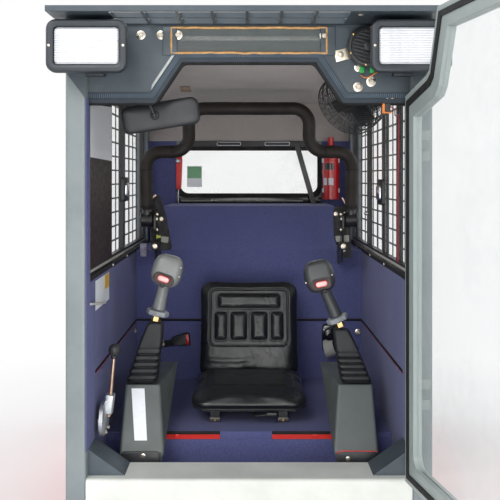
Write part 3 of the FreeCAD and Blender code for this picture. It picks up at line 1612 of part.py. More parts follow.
def write_parts():
    """Check every object, then write each sub-part's shape."""
    DOC.recompute()
    for thing in DOC.Objects:
        if "Invalid" in thing.State or "Error" in thing.State:
            raise RuntimeError(f"{thing.Label} failed: {thing.State}")
    os.makedirs("parts", exist_ok=True)
    for part in PARTS:
        if part.Shape.isNull() or not part.Shape.isValid():
            raise RuntimeError(f"{part.Label} has no valid shape")
    for part in PARTS:
        part.Shape.exportStep(f"parts/{part.Label}.step")
    print(len(PARTS), "sub-parts written")


build()
write_parts()
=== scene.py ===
# Looks of the operator cab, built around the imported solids. Metres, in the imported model's frame.
import math

import bmesh
import bpy
from mathutils import Matrix, Vector, noise


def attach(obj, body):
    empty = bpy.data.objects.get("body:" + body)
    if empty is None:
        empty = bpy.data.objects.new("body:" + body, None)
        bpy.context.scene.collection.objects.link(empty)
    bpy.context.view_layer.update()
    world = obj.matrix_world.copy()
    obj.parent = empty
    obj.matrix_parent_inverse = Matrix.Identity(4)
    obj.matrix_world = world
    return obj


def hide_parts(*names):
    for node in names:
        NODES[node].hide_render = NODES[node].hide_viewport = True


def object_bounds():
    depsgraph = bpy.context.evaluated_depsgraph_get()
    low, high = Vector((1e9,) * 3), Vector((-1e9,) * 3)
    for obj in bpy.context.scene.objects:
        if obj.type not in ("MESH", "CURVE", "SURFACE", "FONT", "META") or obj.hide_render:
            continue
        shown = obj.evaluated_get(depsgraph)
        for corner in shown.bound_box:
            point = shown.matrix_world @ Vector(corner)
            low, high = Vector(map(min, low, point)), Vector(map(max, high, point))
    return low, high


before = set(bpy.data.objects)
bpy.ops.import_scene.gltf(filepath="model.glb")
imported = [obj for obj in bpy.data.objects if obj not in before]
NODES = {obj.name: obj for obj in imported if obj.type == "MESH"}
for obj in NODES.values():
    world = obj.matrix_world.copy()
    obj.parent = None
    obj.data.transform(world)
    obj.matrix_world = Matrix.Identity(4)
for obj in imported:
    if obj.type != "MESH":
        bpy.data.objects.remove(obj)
CAD_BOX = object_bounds()

CAMERA_Y = -3.149
CAMERA_Z = 1.2
PIXELS = 800.0
CENTRE = (249.0, 178.0)
PICTURE = 500.0
SENSOR = 36.0
FORWARD = Vector((0, -1, 0))
SIDES = (-1, 1)
SIDE_NAME = {-1: "left", 1: "right"}


def spot(px, py, y):
    """The point at a depth that shows at a pixel of the photograph."""
    scale = (y - CAMERA_Y) / PIXELS
    return Vector(((px - CENTRE[0]) * scale, y, CAMERA_Z - (py - CENTRE[1]) * scale))


def turned(degrees, axis="Y"):
    return Matrix.Rotation(math.radians(degrees), 3, axis)


def rgb(red, green, blue):
    """A linear colour from the values read in a picture."""
    return tuple((value / 255) ** 2.2 for value in (red, green, blue)) + (1.0,)


def shade(colour, share):
    """A colour made lighter or darker."""
    return tuple(min(1.0, value * share) for value in colour[:3]) + (1.0,)


# Materials

class Finish:
    """A material whose colour, roughness and relief come from nodes."""

    def __init__(self, name, rough=0.5, metal=0.0, coat=0.0, sheen=0.0, alpha=1.0, specular=0.5):
        self.mat = bpy.data.materials.new(name)
        self.mat.use_nodes = True
        self.tree = self.mat.node_tree
        self.shader = self.tree.nodes["Principled BSDF"]
        values = {"Roughness": rough, "Metallic": metal, "Coat Weight": coat, "Coat Roughness": 0.12,
                  "Sheen Weight": sheen, "Alpha": alpha, "Specular IOR Level": specular}
        for socket, value in values.items():
            self.shader.inputs[socket].default_value = value
        self.coords = self.node("TexCoord").outputs["Object"]
        self.normal = None

    def node(self, kind, **values):
        made = self.tree.nodes.new("ShaderNode" + kind)
        for key, value in values.items():
            if hasattr(made, key):
                setattr(made, key, value)
            else:
                made.inputs[key].default_value = value
        return made

    def link(self, out, into):
        self.tree.links.new(out, into)

    def noise(self, scale, detail=4.0, rough=0.55, stretch=None):
        made = self.node("TexNoise", Scale=scale, Detail=detail, Roughness=rough)
        source = self.coords
        if stretch:
            mapping = self.node("Mapping", Scale=stretch)
            self.link(source, mapping.inputs["Vector"])
            source = mapping.outputs["Vector"]
        self.link(source, made.inputs["Vector"])
        return made.outputs["Fac"]

    def cells(self, scale):
        made = self.node("TexVoronoi", Scale=scale)
        self.link(self.coords, made.inputs["Vector"])
        return made.outputs["Distance"]

    def bands(self, scale, direction):
        made = self.node("TexWave", Scale=scale, bands_direction=direction)
        self.link(self.coords, made.inputs["Vector"])
        return made.outputs["Fac"]

    def ranged(self, value, low, high, to_low=0.0, to_high=1.0):
        made = self.node("MapRange")
        values = {"From Min": low, "From Max": high, "To Min": to_low, "To Max": to_high}
        for socket, number in values.items():
            made.inputs[socket].default_value = number
        self.link(value, made.inputs["Value"])
        return made.outputs["Result"]

    def mixed(self, factor, first, second):
        made = self.node("Mix", data_type="RGBA")
        self.link(factor, made.inputs["Factor"])
        for socket, value in (("A", first), ("B", second)):
            into = [i for i in made.inputs if i.identifier == socket + "_Color"][0]
            if isinstance(value, tuple):
                into.default_value = value
            else:
                self.link(value, into)
        return [o for o in made.outputs if o.identifier == "Result_Color"][0]

    def colour(self, out):
        self.link(out, self.shader.inputs["Base Color"])

    def mottled(self, base, scale, spread, dust, dust_scale, dust_share):
        """The base colour varied in patches, with dust or wear on top."""
        out = self.mixed(self.ranged(self.noise(scale), 0.3, 0.7),
                         shade(base, 1 - spread), shade(base, 1 + spread))
        amount = self.ranged(self.noise(dust_scale, 6.0, 0.65), 0.42, 0.75, 0.0, dust_share)
        self.colour(self.mixed(amount, out, dust))

    def uneven(self, scale, low, high):
        """Roughness that varies over the surface."""
        self.link(self.ranged(self.noise(scale, 5.0), 0.3, 0.7, low, high), self.shader.inputs["Roughness"])

    def soften(self, radius):
        """Edges that look rounded."""
        made = self.node("Bevel", samples=6, Radius=radius)
        self.normal = made.outputs["Normal"]
        self.link(self.normal, self.shader.inputs["Normal"])

    def relief(self, height, strength, distance):
        made = self.node("Bump", Strength=strength, Distance=distance)
        self.link(height, made.inputs["Height"])
        if self.normal is not None:
            self.link(self.normal, made.inputs["Normal"])
        self.normal = made.outputs["Normal"]
        self.link(self.normal, self.shader.inputs["Normal"])


def paint(name, base, rough=0.42, dust=None, dust_share=0.35, coat=0.1, soft=0.0025):
    """Sprayed paint with slight orange peel, dust and scuffs."""
    made = Finish(name, rough, coat=coat)
    made.mottled(base, 7.0, 0.06, dust, 3.0, dust_share)
    made.uneven(11.0, rough - 0.08, rough + 0.12)
    made.soften(soft)
    made.relief(made.noise(420.0, 2.0), 0.12, 0.0006)
    made.relief(made.noise(24.0, 5.0, 0.7, (1, 1, 6)), 0.06, 0.002)
    return made.mat


def felt(name, base, fleck, scale=520.0):
    """Needle-felt carpet: matted fibres, flecks and brushed patches."""
    made = Finish(name, 0.95, sheen=0.10, specular=0.06)
    fibres = made.noise(scale, 6.0, 0.8)
    out = made.mixed(made.ranged(fibres, 0.35, 0.68), shade(base, 0.62), fleck)
    patches = made.ranged(made.noise(5.0, 5.0, 0.6), 0.35, 0.75, 0.0, 0.4)
    made.colour(made.mixed(patches, out, shade(base, 1.25)))
    made.relief(fibres, 0.5, 0.002)
    made.relief(made.cells(190.0), 0.25, 0.0015)
    return made.mat


def plastic(name, base, rough=0.5, grain=600.0, depth=0.25, spread=0.12, soft=0.0015, dust=0.12):
    """Moulded plastic with a fine grain and handling marks."""
    made = Finish(name, rough)
    made.mottled(base, 16.0, spread, shade(base, 2.4), 6.0, dust)
    made.uneven(14.0, rough - 0.1, rough + 0.1)
    if soft:
        made.soften(soft)
    made.relief(made.cells(grain), depth, 0.0006)
    return made.mat


def rubber(name, base, rough=0.68, grain=900.0, depth=0.25):
    made = Finish(name, rough, specular=0.35)
    made.mottled(base, 20.0, 0.15, shade(base, 2.6), 9.0, 0.22)
    made.uneven(22.0, rough - 0.1, rough + 0.12)
    made.relief(made.noise(grain, 4.0, 0.7), depth, 0.0006)
    return made.mat


def bare(name, base, rough=0.3, stains=None, stretch=None):
    """Bare or plated metal with brushed streaks and stains."""
    made = Finish(name, rough, 1.0)
    made.mottled(base, 40.0, 0.12, stains or shade(base, 0.55), 30.0, 0.45)
    made.uneven(60.0, rough - 0.1, rough + 0.18)
    made.relief(made.noise(300.0, 5.0, 0.7, stretch), 0.2, 0.0006)
    return made.mat


def vinyl(name, base):
    """Black vinyl: pebble grain, creases and a soft sheen."""
    made = Finish(name, 0.34, coat=0.07, sheen=0.02)
    made.mottled(base, 10.0, 0.18, shade(base, 2.2), 4.0, 0.12)
    made.uneven(9.0, 0.26, 0.44)
    made.relief(made.cells(420.0), 0.35, 0.0008)
    made.relief(made.noise(36.0, 6.0, 0.7, (1.0, 2.2, 1.0)), 0.16, 0.003)
    return made.mat


def pane(name, base, alpha, rough=0.06, smears=0.35):
    """Thin glass with smears and dust."""
    made = Finish(name, rough, coat=0.6, alpha=alpha, specular=0.8)
    made.mottled(base, 4.0, 0.05, (0.8, 0.8, 0.78, 1.0), 3.0, smears)
    made.link(made.ranged(made.noise(3.2, 6.0, 0.7), 0.45, 0.8, alpha, alpha * 1.9),
              made.shader.inputs["Alpha"])
    made.uneven(6.0, rough, rough + 0.12)
    return made.mat


def lens(name, base):
    """Ribbed lamp glass with lighter patches here and there, and painted highlight stripes along its ribs.
    """
    made = Finish(name, 0.16, coat=1.0)
    ribs = made.bands(46.0, "Z")
    cross = made.bands(14.0, "X")
    # Painted highlight: every rib band turns from the glass colour to near white.
    out = made.mixed(ribs, base, rgb(250, 250, 252))
    made.colour(made.mixed(made.ranged(made.noise(9.0, 3.0), 0.45, 0.7, 0.0, 0.5), out, rgb(215, 216, 222)))
    made.relief(ribs, 0.5, 0.003)
    made.relief(cross, 0.3, 0.003)
    return made.mat


def plain(name, base, rough=0.5, metal=0.0, spread=0.08, coat=0.0, grain=200.0):
    """A small piece's finish: slightly uneven colour and surface."""
    made = Finish(name, rough, metal, coat)
    made.mottled(base, 60.0, spread, shade(base, 0.8), 40.0, 0.25)
    made.uneven(50.0, rough * 0.8, rough * 1.25)
    made.relief(made.noise(grain, 3.0), 0.1, 0.0005)
    return made.mat


# Each recipe's finishes: key, material name, colour as read in a picture, and the recipe's own values.
FINISHES = (
    (paint, (
        # The header finish is the cab's grey paint darkened: painted shade, as under the visor.
        ("header", "header_paint", (62, 72, 79), 0.45, rgb(120, 128, 132), 0.3),
        ("grey", "pillar_paint", (118, 126, 128), 0.45, rgb(165, 170, 168), 0.3),
        ("wall", "wall_paint", (122, 130, 132), 0.5, rgb(160, 165, 165), 0.3),
        ("door", "door_paint", (140, 150, 148), 0.42, rgb(175, 180, 176), 0.35),
        # The sill finish is the cab's grey paint made nearly white: painted sunlight on the sill.
        ("sill", "sill_paint", (216, 218, 211), 0.5, rgb(150, 148, 140), 0.35),
        ("red", "machine_red", (214, 44, 36), 0.35, rgb(180, 60, 50), 0.2, 0.3),
        ("black", "black_paint", (32, 32, 34), 0.38, rgb(80, 78, 76), 0.18, 0.15, 0.0015),
        ("bottle", "bottle_red", (206, 24, 28), 0.28, rgb(150, 20, 20), 0.15, 0.5))),
    (felt, (
        ("carpet", "navy_felt", (76, 80, 126), rgb(116, 120, 166)),
        ("liner", "ceiling_felt", (176, 168, 163), rgb(204, 196, 190), 800.0))),
    (rubber, (
        ("rubber", "seal_rubber", (26, 26, 27)),
        ("boot", "boot_rubber", (36, 38, 40), 0.5, 700.0, 0.18),
        ("foam", "bar_foam", (42, 37, 34), 0.62, 1100.0, 0.35),
        ("edging", "edging_base", (42, 50, 58), 0.5, 500.0, 0.2),
        # The ribs' finish is the edging's rubber made lighter: a painted highlight on the rib tops.
        ("edging_rib", "edging_ribs", (76, 90, 102), 0.45, 500.0, 0.2),
        ("pale_webbing", "pale_webbing", (150, 150, 146), 0.7, 500.0, 0.5),
        ("webbing", "belt_webbing", (28, 28, 30), 0.8, 500.0, 0.5))),
    (plastic, (
        ("plastic", "black_plastic", (42, 43, 45), 0.46),
        ("lamp", "lamp_housing", (48, 53, 58), 0.42, 500.0, 0.15, 0.08, 0.004),
        ("grip", "lever_grip", (58, 60, 62), 0.42, 700.0, 0.3, 0.1, 0.0),
        ("pod", "pod_plastic", (84, 90, 88), 0.44, 500.0, 0.12, 0.06, 0.006, 0.2),
        ("collar", "lever_collar", (134, 138, 142), 0.36, 700.0, 0.2, 0.12, 0.002),
        ("recess", "button_recess", (50, 42, 40), 0.5, 700.0, 0.2, 0.12, 0.002),
        ("pale_grip", "pale_lever_grip", (116, 118, 117), 0.34, 700.0, 0.25, 0.12, 0.0))),
    (pane, (
        ("glass", "cab_glass", (205, 218, 216), 0.1),
        ("doorglass", "door_pane", (210, 222, 220), 0.12))),
    (lens, (("lens", "ribbed_lens", (196, 199, 206)),)),
    (vinyl, (("vinyl", "black_vinyl", (25, 27, 29)),)),
    (bare, (
        ("brass", "plated_brass", (206, 176, 124), 0.28),
        ("cast", "cast_metal", (198, 202, 206), 0.42, rgb(158, 156, 152)),
        ("copper", "bare_rod", (206, 178, 156), 0.34, rgb(168, 124, 98), (1, 1, 0.2)),
        ("zinc", "zinc_plate", (214, 208, 188), 0.34, rgb(160, 140, 110)),
        ("bolt", "bolt_head", (222, 214, 200), 0.3, rgb(140, 104, 70)),
        ("dark_steel", "dark_steel", (96, 94, 92), 0.4, rgb(70, 50, 38)),
        ("nickel", "nickel_plate", (206, 208, 212), 0.24))),
    (plain, (
        ("mirror", "silvered_glass", (225, 230, 232), 0.04, 1.0, 0.02),
        ("flat_black", "flat_black", (24, 24, 26), 0.62, 0.0, 0.15),
        ("tan", "tan_coil", (160, 134, 112), 0.5, 0.3),
        ("bright_white", "bright_label", (246, 249, 252), 0.4, 0.0, 0.02, 0.2),
        ("sealant_grey", "weld_bead", (112, 120, 122), 0.5),
        ("worn", "worn_paint", (176, 180, 178), 0.5, 0.0, 0.2),
        ("track", "window_track", (196, 194, 188), 0.5),
        ("dull_zinc", "dull_zinc", (138, 138, 130), 0.42, 0.4),
        ("clip", "grey_clip", (150, 146, 168), 0.4),
        ("fitting", "grease_fitting", (192, 196, 96), 0.4),
        ("gloss_black", "gloss_black", (26, 27, 29), 0.2, 0.0, 0.1, 0.5),
        ("white", "label_white", (232, 236, 240), 0.35, 0.0, 0.03, 0.3),
        ("yellow", "label_yellow", (236, 190, 50), 0.4, 0.0, 0.05, 0.2),
        ("green", "sign_green", (60, 150, 84), 0.35, 0.0, 0.05, 0.3),
        ("connector", "green_connector", (40, 150, 70), 0.35, 0.0, 0.1),
        ("orange", "orange_wire", (226, 130, 60), 0.4, 0.0, 0.1),
        ("wire_red", "red_wire", (170, 26, 40), 0.4, 0.0, 0.1),
        ("button", "button_face", (240, 196, 190), 0.3, 0.0, 0.12, 0.4),
        ("button_rim", "button_rim", (206, 40, 40), 0.3, 0.0, 0.08, 0.4),
        ("red_strip", "red_strip", (226, 50, 44), 0.34, 0.0, 0.08, 0.4),
        ("sealant", "amber_sealant", (190, 142, 84), 0.35, 0.0, 0.3, 0.3, 90.0),
        ("blank", "blank_panel", (48, 36, 30), 0.55, 0.0, 0.2))),
)
M = {key: recipe(name, rgb(*base), *rest) for recipe, rows in FINISHES for key, name, base, *rest in rows}

# The slot for a piece of each finish, where the piece names none.
SLOT_FINISHES = {
    "bare_metal": "bolt zinc copper cast dull_zinc track nickel tan",
    "black_plastic": "plastic lamp connector orange wire_red collar grip pale_grip recess button_rim button "
                     "webbing gloss_black pale_webbing clip blank",
    "black_rubber": "edging edging_rib rubber sealant boot",
    "black_steel": "black dark_steel flat_black",
    "header_grey": "header worn",
    "pod_plastic": "white bright_white yellow green",
    "machine_red": "red_strip",
    "brass": "brass fitting",
    "cab_grey": "sealant_grey",
    "carpet": "carpet",
    "foam": "foam",
    "lens": "lens",
    "vinyl": "vinyl",
}
SLOT_OF = {finish: slot for slot, finishes in SLOT_FINISHES.items() for finish in finishes.split()}

NODE_FINISH = {
    "header": "header_plate visor_guard door_gussets",
    "grey": "front_pillars",
    "wall": "left_side_frame right_side_frame rear_wall roof_panel",
    "door": "door_frame door_hinge_leaves door_hinge_fixed",
    "sill": "front_sill",
    "red": "base_frame tub_shell seat_box",
    "black": "left_window_guard right_window_guard bar_brackets lap_bar_hubs seat_rails seat_frame "
             "rear_strut window_frames fan_cage",
    "carpet": "platform_carpet lower_carpet upper_bulkhead side_carpets shelf_box",
    "liner": "headliner",
    "rubber": "seam_seal rear_window_rubber door_seal",
    "edging": "header_edge_trim",
    "boot": "lever_boots",
    "foam": "lap_bar",
    "plastic": "brake_knob mirror_housing rear_light seat_belt horn fan_rotor door_handle",
    "lamp": "work_lamps",
    "grip": "joysticks",
    "pod": "pods",
    "glass": "cab_glass",
    "doorglass": "door_glass",
    "lens": "lamp_lenses",
    "mirror": "mirror_glass",
    "brass": "lever_nuts",
    "cast": "brake_lever",
    "vinyl": "seat_cushion seat_back",
    "bottle": "extinguisher extinguisher_bracket",
}


def dress_nodes():
    """Give each carried-over solid its finish."""
    for finish, names in NODE_FINISH.items():
        for name in names.split():
            slots = NODES[name].data.materials
            slots.clear()
            slots.append(M[finish])


# Building pieces

def rounded(half_u, half_v, radius, steps=5):
    """Points of a rounded rectangle about zero."""
    points = []
    for turn, (su, sv) in enumerate(((1, 1), (-1, 1), (-1, -1), (1, -1))):
        for step in range(steps + 1):
            angle = math.radians(90 * turn + 90 * step / steps)
            points.append((su * (half_u - radius) + math.cos(angle) * radius,
                           sv * (half_v - radius) + math.sin(angle) * radius))
    return points


def curved_outline(points, share=0.28, steps=3):
    """A closed outline with its corners rounded off."""
    outline = []
    for i, point in enumerate(points):
        here = Vector(point)
        before, after = Vector(points[i - 1]), Vector(points[(i + 1) % len(points)])
        a, b = here.lerp(before, share), here.lerp(after, share)
        for step in range(steps):
            t = step / (steps - 1)
            outline.append(a * (1 - t) ** 2 + here * 2 * t * (1 - t) + b * t ** 2)
    return outline


def oblong(low, high):
    """The corners of an upright rectangle."""
    return [low, (high[0], low[1]), high, (low[0], high[1])]


def rounded_path(points, bend, steps=8):
    """Straight runs with smooth bends at the inner points."""
    points = [Vector(p) for p in points]
    line = [points[0]]
    for before, corner, after in zip(points, points[1:], points[2:]):
        towards, away = (before - corner).normalized(), (after - corner).normalized()
        half = towards.angle(away) / 2
        reach = bend / math.tan(half)
        centre = corner + (towards + away).normalized() * (bend / math.sin(half))
        spoke = corner + towards * reach - centre
        axis = away.cross(towards)
        turn = math.pi - 2 * half
        line += [centre + Matrix.Rotation(turn * i / steps, 3, axis) @ spoke for i in range(steps + 1)]
    line.append(points[-1])
    return line


def even_path(points, step):
    """Points at an even spacing along a line."""
    points = [Vector(p) for p in points]
    line = [points[0]]
    for a, b in zip(points, points[1:]):
        count = max(1, int((b - a).length / step))
        line += [a.lerp(b, i / count) for i in range(1, count + 1)]
    return line


def smooth_line(points, steps=8):
    """A smooth curve through points."""
    points = [Vector(p) for p in points]
    ends = [points[0] * 2 - points[1]] + points + [points[-1] * 2 - points[-2]]
    line = []
    for a, b, c, d in zip(ends, ends[1:], ends[2:], ends[3:]):
        for i in range(steps):
            t = i / steps
            line.append(0.5 * ((2 * b) + (c - a) * t + (2 * a - 5 * b + 4 * c - d) * t * t
                               + (3 * b - a - 3 * c + d) * t * t * t))
    line.append(points[-1])
    return line


def facing(y):
    """Places an outline of X and Z on a plane that faces the doorway."""
    return lambda across, up, height: Vector((across, y - height, up))


def on_side(side, x):
    """Places an outline of Y and Z on a side wall, raised inwards."""
    return lambda across, up, height: Vector((side * (x - height), across, up))


def seen(pixels, y):
    """An outline in X and Z from pixels, at a depth."""
    return [Vector((p.x, p.z)) for p in (spot(px, py, y) for px, py in pixels)]


class Piece:
    """Gathers shapes of one finish into one mesh."""

    def __init__(self):
        self.bm = bmesh.new()

    def loops(self, rings, closed=True, caps=True):
        """Skin between rings of as many points each."""
        made = [[self.bm.verts.new(p) for p in ring] for ring in rings]
        count = len(rings[0])
        for low, high in zip(made, made[1:]):
            for i in range(count if closed else count - 1):
                j = (i + 1) % count
                self.bm.faces.new((low[i], low[j], high[j], high[i]))
        if caps:
            self.bm.faces.new(made[0][::-1])
            self.bm.faces.new(made[-1])

    def box(self, low, high, round_by=0.0, turn=None):
        """A block between two corners, with its edges rounded."""
        low, high = Vector(low), Vector(high)
        made = bmesh.ops.create_cube(self.bm, size=1.0)["verts"]
        bmesh.ops.scale(self.bm, vec=high - low, verts=made)
        if round_by:
            edges = list({e for v in made for e in v.link_edges})
            new = bmesh.ops.bevel(self.bm, geom=edges, offset=round_by, segments=3, profile=0.5,
                                  affect="EDGES")
            made = list({v for f in new["faces"] for v in f.verts} | {v for v in made if v.is_valid})
        matrix = Matrix.Translation((low + high) / 2)
        if turn is not None:
            matrix = matrix @ turn.to_4x4()
        bmesh.ops.transform(self.bm, matrix=matrix, verts=made)

    def about(self, at, less, more, round_by=0.0, turn=None):
        """A block round a point, from its reach each way."""
        self.box(at - Vector(less), at + Vector(more), round_by, turn)

    def side_box(self, side, across, along, up, round_by=0.0008):
        """A block on one side of the cab, from its spans across, along and up."""
        low_x, high_x = sorted((side * across[0], side * across[1]))
        self.box((low_x, along[0], up[0]), (high_x, along[1], up[1]), round_by)

    def lathe(self, profile, start, axis, sides=32):
        """A turned form: radii and distances along an axis."""
        turn = Vector((0, 0, 1)).rotation_difference(Vector(axis).normalized()).to_matrix()
        angles = [2 * math.pi * i / sides for i in range(sides)]
        self.loops([[Vector(start) + turn @ Vector((radius * math.cos(t), radius * math.sin(t), along))
                     for t in angles] for radius, along in profile])

    def rod(self, a, b, radius, sides=16):
        a, b = Vector(a), Vector(b)
        self.lathe([(radius, 0.0), (radius, (b - a).length)], a, b - a, sides)

    def tube(self, points, radius, sides=12, closed=False):
        """A round tube along points, turning as little as it can."""
        points = [Vector(p) for p in points]
        count = len(points)
        rings = []
        side = None
        for i, point in enumerate(points):
            after = points[(i + 1) % count] if closed or i < count - 1 else point
            before = points[i - 1] if closed or i > 0 else point
            along = (after - before).normalized()
            if side is None:
                side = along.orthogonal().normalized()
            side = (side - along * side.dot(along)).normalized()
            other = along.cross(side)
            rings.append([point + (side * math.cos(t) + other * math.sin(t)) * radius
                          for t in (2 * math.pi * k / sides for k in range(sides))])
        if closed:
            rings.append(rings[0])
        self.loops(rings, caps=not closed)
        if closed:
            bmesh.ops.remove_doubles(self.bm, verts=self.bm.verts, dist=1e-6)

    def sleeve(self, path, radius):
        """A foam tube, slightly uneven."""
        self.tube(path, radius, 28)
        for vert in self.bm.verts:
            near = min(path, key=lambda p: (p - vert.co).length_squared)
            away = (vert.co - near).normalized()
            vert.co += away * (0.0006 * noise.noise(vert.co * 22.0) + 0.0003 * noise.noise(vert.co * 90.0))

    def bolt(self, centre, normal, radius=0.008):
        """A bolt head on its washer."""
        centre, normal = Vector(centre), Vector(normal).normalized()
        self.lathe([(radius * 1.6, -0.0004), (radius * 1.6, radius * 0.16), (radius * 1.45, radius * 0.24)],
                   centre, normal, 24)
        self.lathe([(radius, -0.0004), (radius, radius * 0.5), (radius * 0.84, radius * 0.68)],
                   centre + normal * radius * 0.24, normal, 6)

    def screw(self, centre, normal, radius=0.005):
        """A domed screw head with its slot."""
        self.lathe([(radius, -0.0003), (radius * 0.96, radius * 0.25), (radius * 0.7, radius * 0.5),
                    (radius * 0.35, radius * 0.58), (radius * 0.3, radius * 0.3)], centre, normal, 20)

    def slab(self, corners, normal, thick):
        """A thin plate on a surface, from its corners."""
        normal = Vector(normal).normalized()
        self.loops([[c - normal * 0.0004 for c in corners], [c + normal * thick for c in corners]])

    def prism(self, outline, place, thick, edge=0.0008):
        """A plate from an outline, its outer edge eased; place gives a point from across, up and height."""
        middle = sum((Vector(p) for p in outline), Vector((0, 0))) / len(outline)
        steps = ((0.0, 0.0), (thick - edge, 0.0), (thick, edge))
        self.loops([[place(*(Vector(p) + (middle - Vector(p)).normalized() * inset), height)
                     for p in outline] for height, inset in steps])

    def ribbon(self, points, across, half, thick):
        """A flat strap along a line."""
        side = Vector(across).normalized() * half
        rings = []
        for i, point in enumerate(points):
            along = (points[min(i + 1, len(points) - 1)] - points[max(i - 1, 0)]).normalized()
            up = along.cross(side).normalized() * thick / 2
            rings.append([point - side - up, point + side - up, point + side + up, point - side + up])
        self.loops(rings)

    def wrapped(self, centre, radius, turn, rise, thick=0.0006):
        """A thin patch round an upright cylinder, from its span of angle off the front and of height."""
        steps = 10
        rings = []
        for i in range(steps + 1):
            angle = math.radians(turn[0] + (turn[1] - turn[0]) * i / steps)
            out = Vector((math.sin(angle), -math.cos(angle), 0))
            near, far = centre + out * (radius - 0.0003), centre + out * (radius + thick)
            rings.append([Vector((p.x, p.y, z)) for p, z in
                          ((near, rise[0]), (far, rise[0]), (far, rise[1]), (near, rise[1]))])
        self.loops(rings)

    def as_object(self, name):
        """The gathered mesh as an object in the scene."""
        bmesh.ops.recalc_face_normals(self.bm, faces=self.bm.faces)
        mesh = bpy.data.meshes.new(name)
        self.bm.to_mesh(mesh)
        self.bm.free()
        return placed(bpy.data.objects.new(name, mesh))


def placed(thing):
    bpy.context.scene.collection.objects.link(thing)
    return thing


def modified(thing, kind, **values):
    """Give an object a modifier and bake it into its mesh."""
    made = thing.modifiers.new(kind.lower(), kind)
    for key, value in values.items():
        setattr(made, key, value)
    apply_modifiers(thing)


def apply_modifiers(thing):
    """Bake an object's modifiers into its mesh."""
    graph = bpy.context.evaluated_depsgraph_get()
    mesh = bpy.data.meshes.new_from_object(thing.evaluated_get(graph), depsgraph=graph)
    old = thing.data
    thing.modifiers.clear()
    thing.data = mesh
    bpy.data.meshes.remove(old)


def dress(thing, finish, slot, body, replaces, smooth=None):
    """Give a piece its finish and ride it on its body; its slot argument is not used."""
    thing.data.materials.clear()
    thing.data.materials.append(M[finish])
    thing.data.polygons.foreach_set("use_smooth", [True] * len(thing.data.polygons))
    if smooth is not None:
        thing.data.set_sharp_from_angle(angle=math.radians(smooth))
    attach(thing, body)
    if replaces:
        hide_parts(*replaces)


def make(name, finish, *steps, slot=None, body="cab", smooth=35, replaces=(), level=0):
    """One piece from its steps, each the name of a Piece method and its values."""
    piece = Piece()
    for way, *values in steps:
        getattr(piece, way)(*values)
    thing = piece.as_object(name)
    if level:
        modified(thing, "SUBSURF", levels=level)
    dress(thing, finish, slot or SLOT_OF[finish], body, replaces, smooth)


# Header, lamps and horn

HEADER_Y = -0.760
EDGE = [(-0.480, 1.436), (-0.285, 1.436), (-0.204, 1.557), (0.204, 1.557), (0.285, 1.436), (0.480, 1.436)]


def offset_line(points, distance):
    """A line moved sideways in X and Z, mitred at its corners."""
    moved = []
    for i, (x, z) in enumerate(points):
        before = Vector(points[max(i - 1, 0)])
        after = Vector(points[min(i + 1, len(points) - 1)])
        here = Vector((x, z))
        ways = [w.normalized() for w in (here - before, after - here) if w.length > 1e-6]
        normals = [Vector((-w.y, w.x)) for w in ways]
        middle = sum(normals, Vector((0, 0))).normalized()
        moved.append(here + middle * (distance / middle.dot(normals[0])))
    return moved


def header_edging():
    """The gripped edging along the header: its strip, cross ribs, worn streak and bulb."""

    def at(points, behind):
        return [Vector((p.x, HEADER_Y + behind, p.y)) for p in points]

    low, high = offset_line(EDGE, -0.001), offset_line(EDGE, 0.019)
    strip = [at([a], 0.001) + at([a, b], -0.0028) + at([b], 0.001) for a, b in zip(low, high)]
    make("header_edging", "edging", ("loops", strip))
    near, far = offset_line(EDGE, 0.002), offset_line(EDGE, 0.016)
    pitch = 0.0062
    ribs = []
    for start, stop, start_far, stop_far in zip(near, near[1:], far, far[1:]):
        count = int((stop - start).length / pitch)
        along = (stop - start).normalized() * 0.0016
        for k in range(count):
            share = (k + 0.5) / count
            a, b = start.lerp(stop, share), start_far.lerp(stop_far, share)
            foot = (a - along, a + along, b + along, b - along)
            ribs.append(("loops", [at(foot, -0.0024), at(foot, -0.0040)]))
    # The ribs take the lighter finish, their painted highlight.
    make("header_edging_ribs", "edging_rib", *ribs)
    near, far = offset_line(EDGE, 0.0205), offset_line(EDGE, 0.0275)
    streak = (near[1].lerp(near[2], 0.05), near[1].lerp(near[2], 0.97), far[1].lerp(far[2], 0.97),
              far[1].lerp(far[2], 0.12))
    make("worn_paint_streak", "worn", ("slab", at(streak, 0.0), FORWARD, 0.0005))
    bulb = rounded_path(at(offset_line(EDGE, -0.012), 0.004), 0.03, 6)
    make("header_edging_bulb", "rubber", ("tube", bulb, 0.0075), smooth=60)


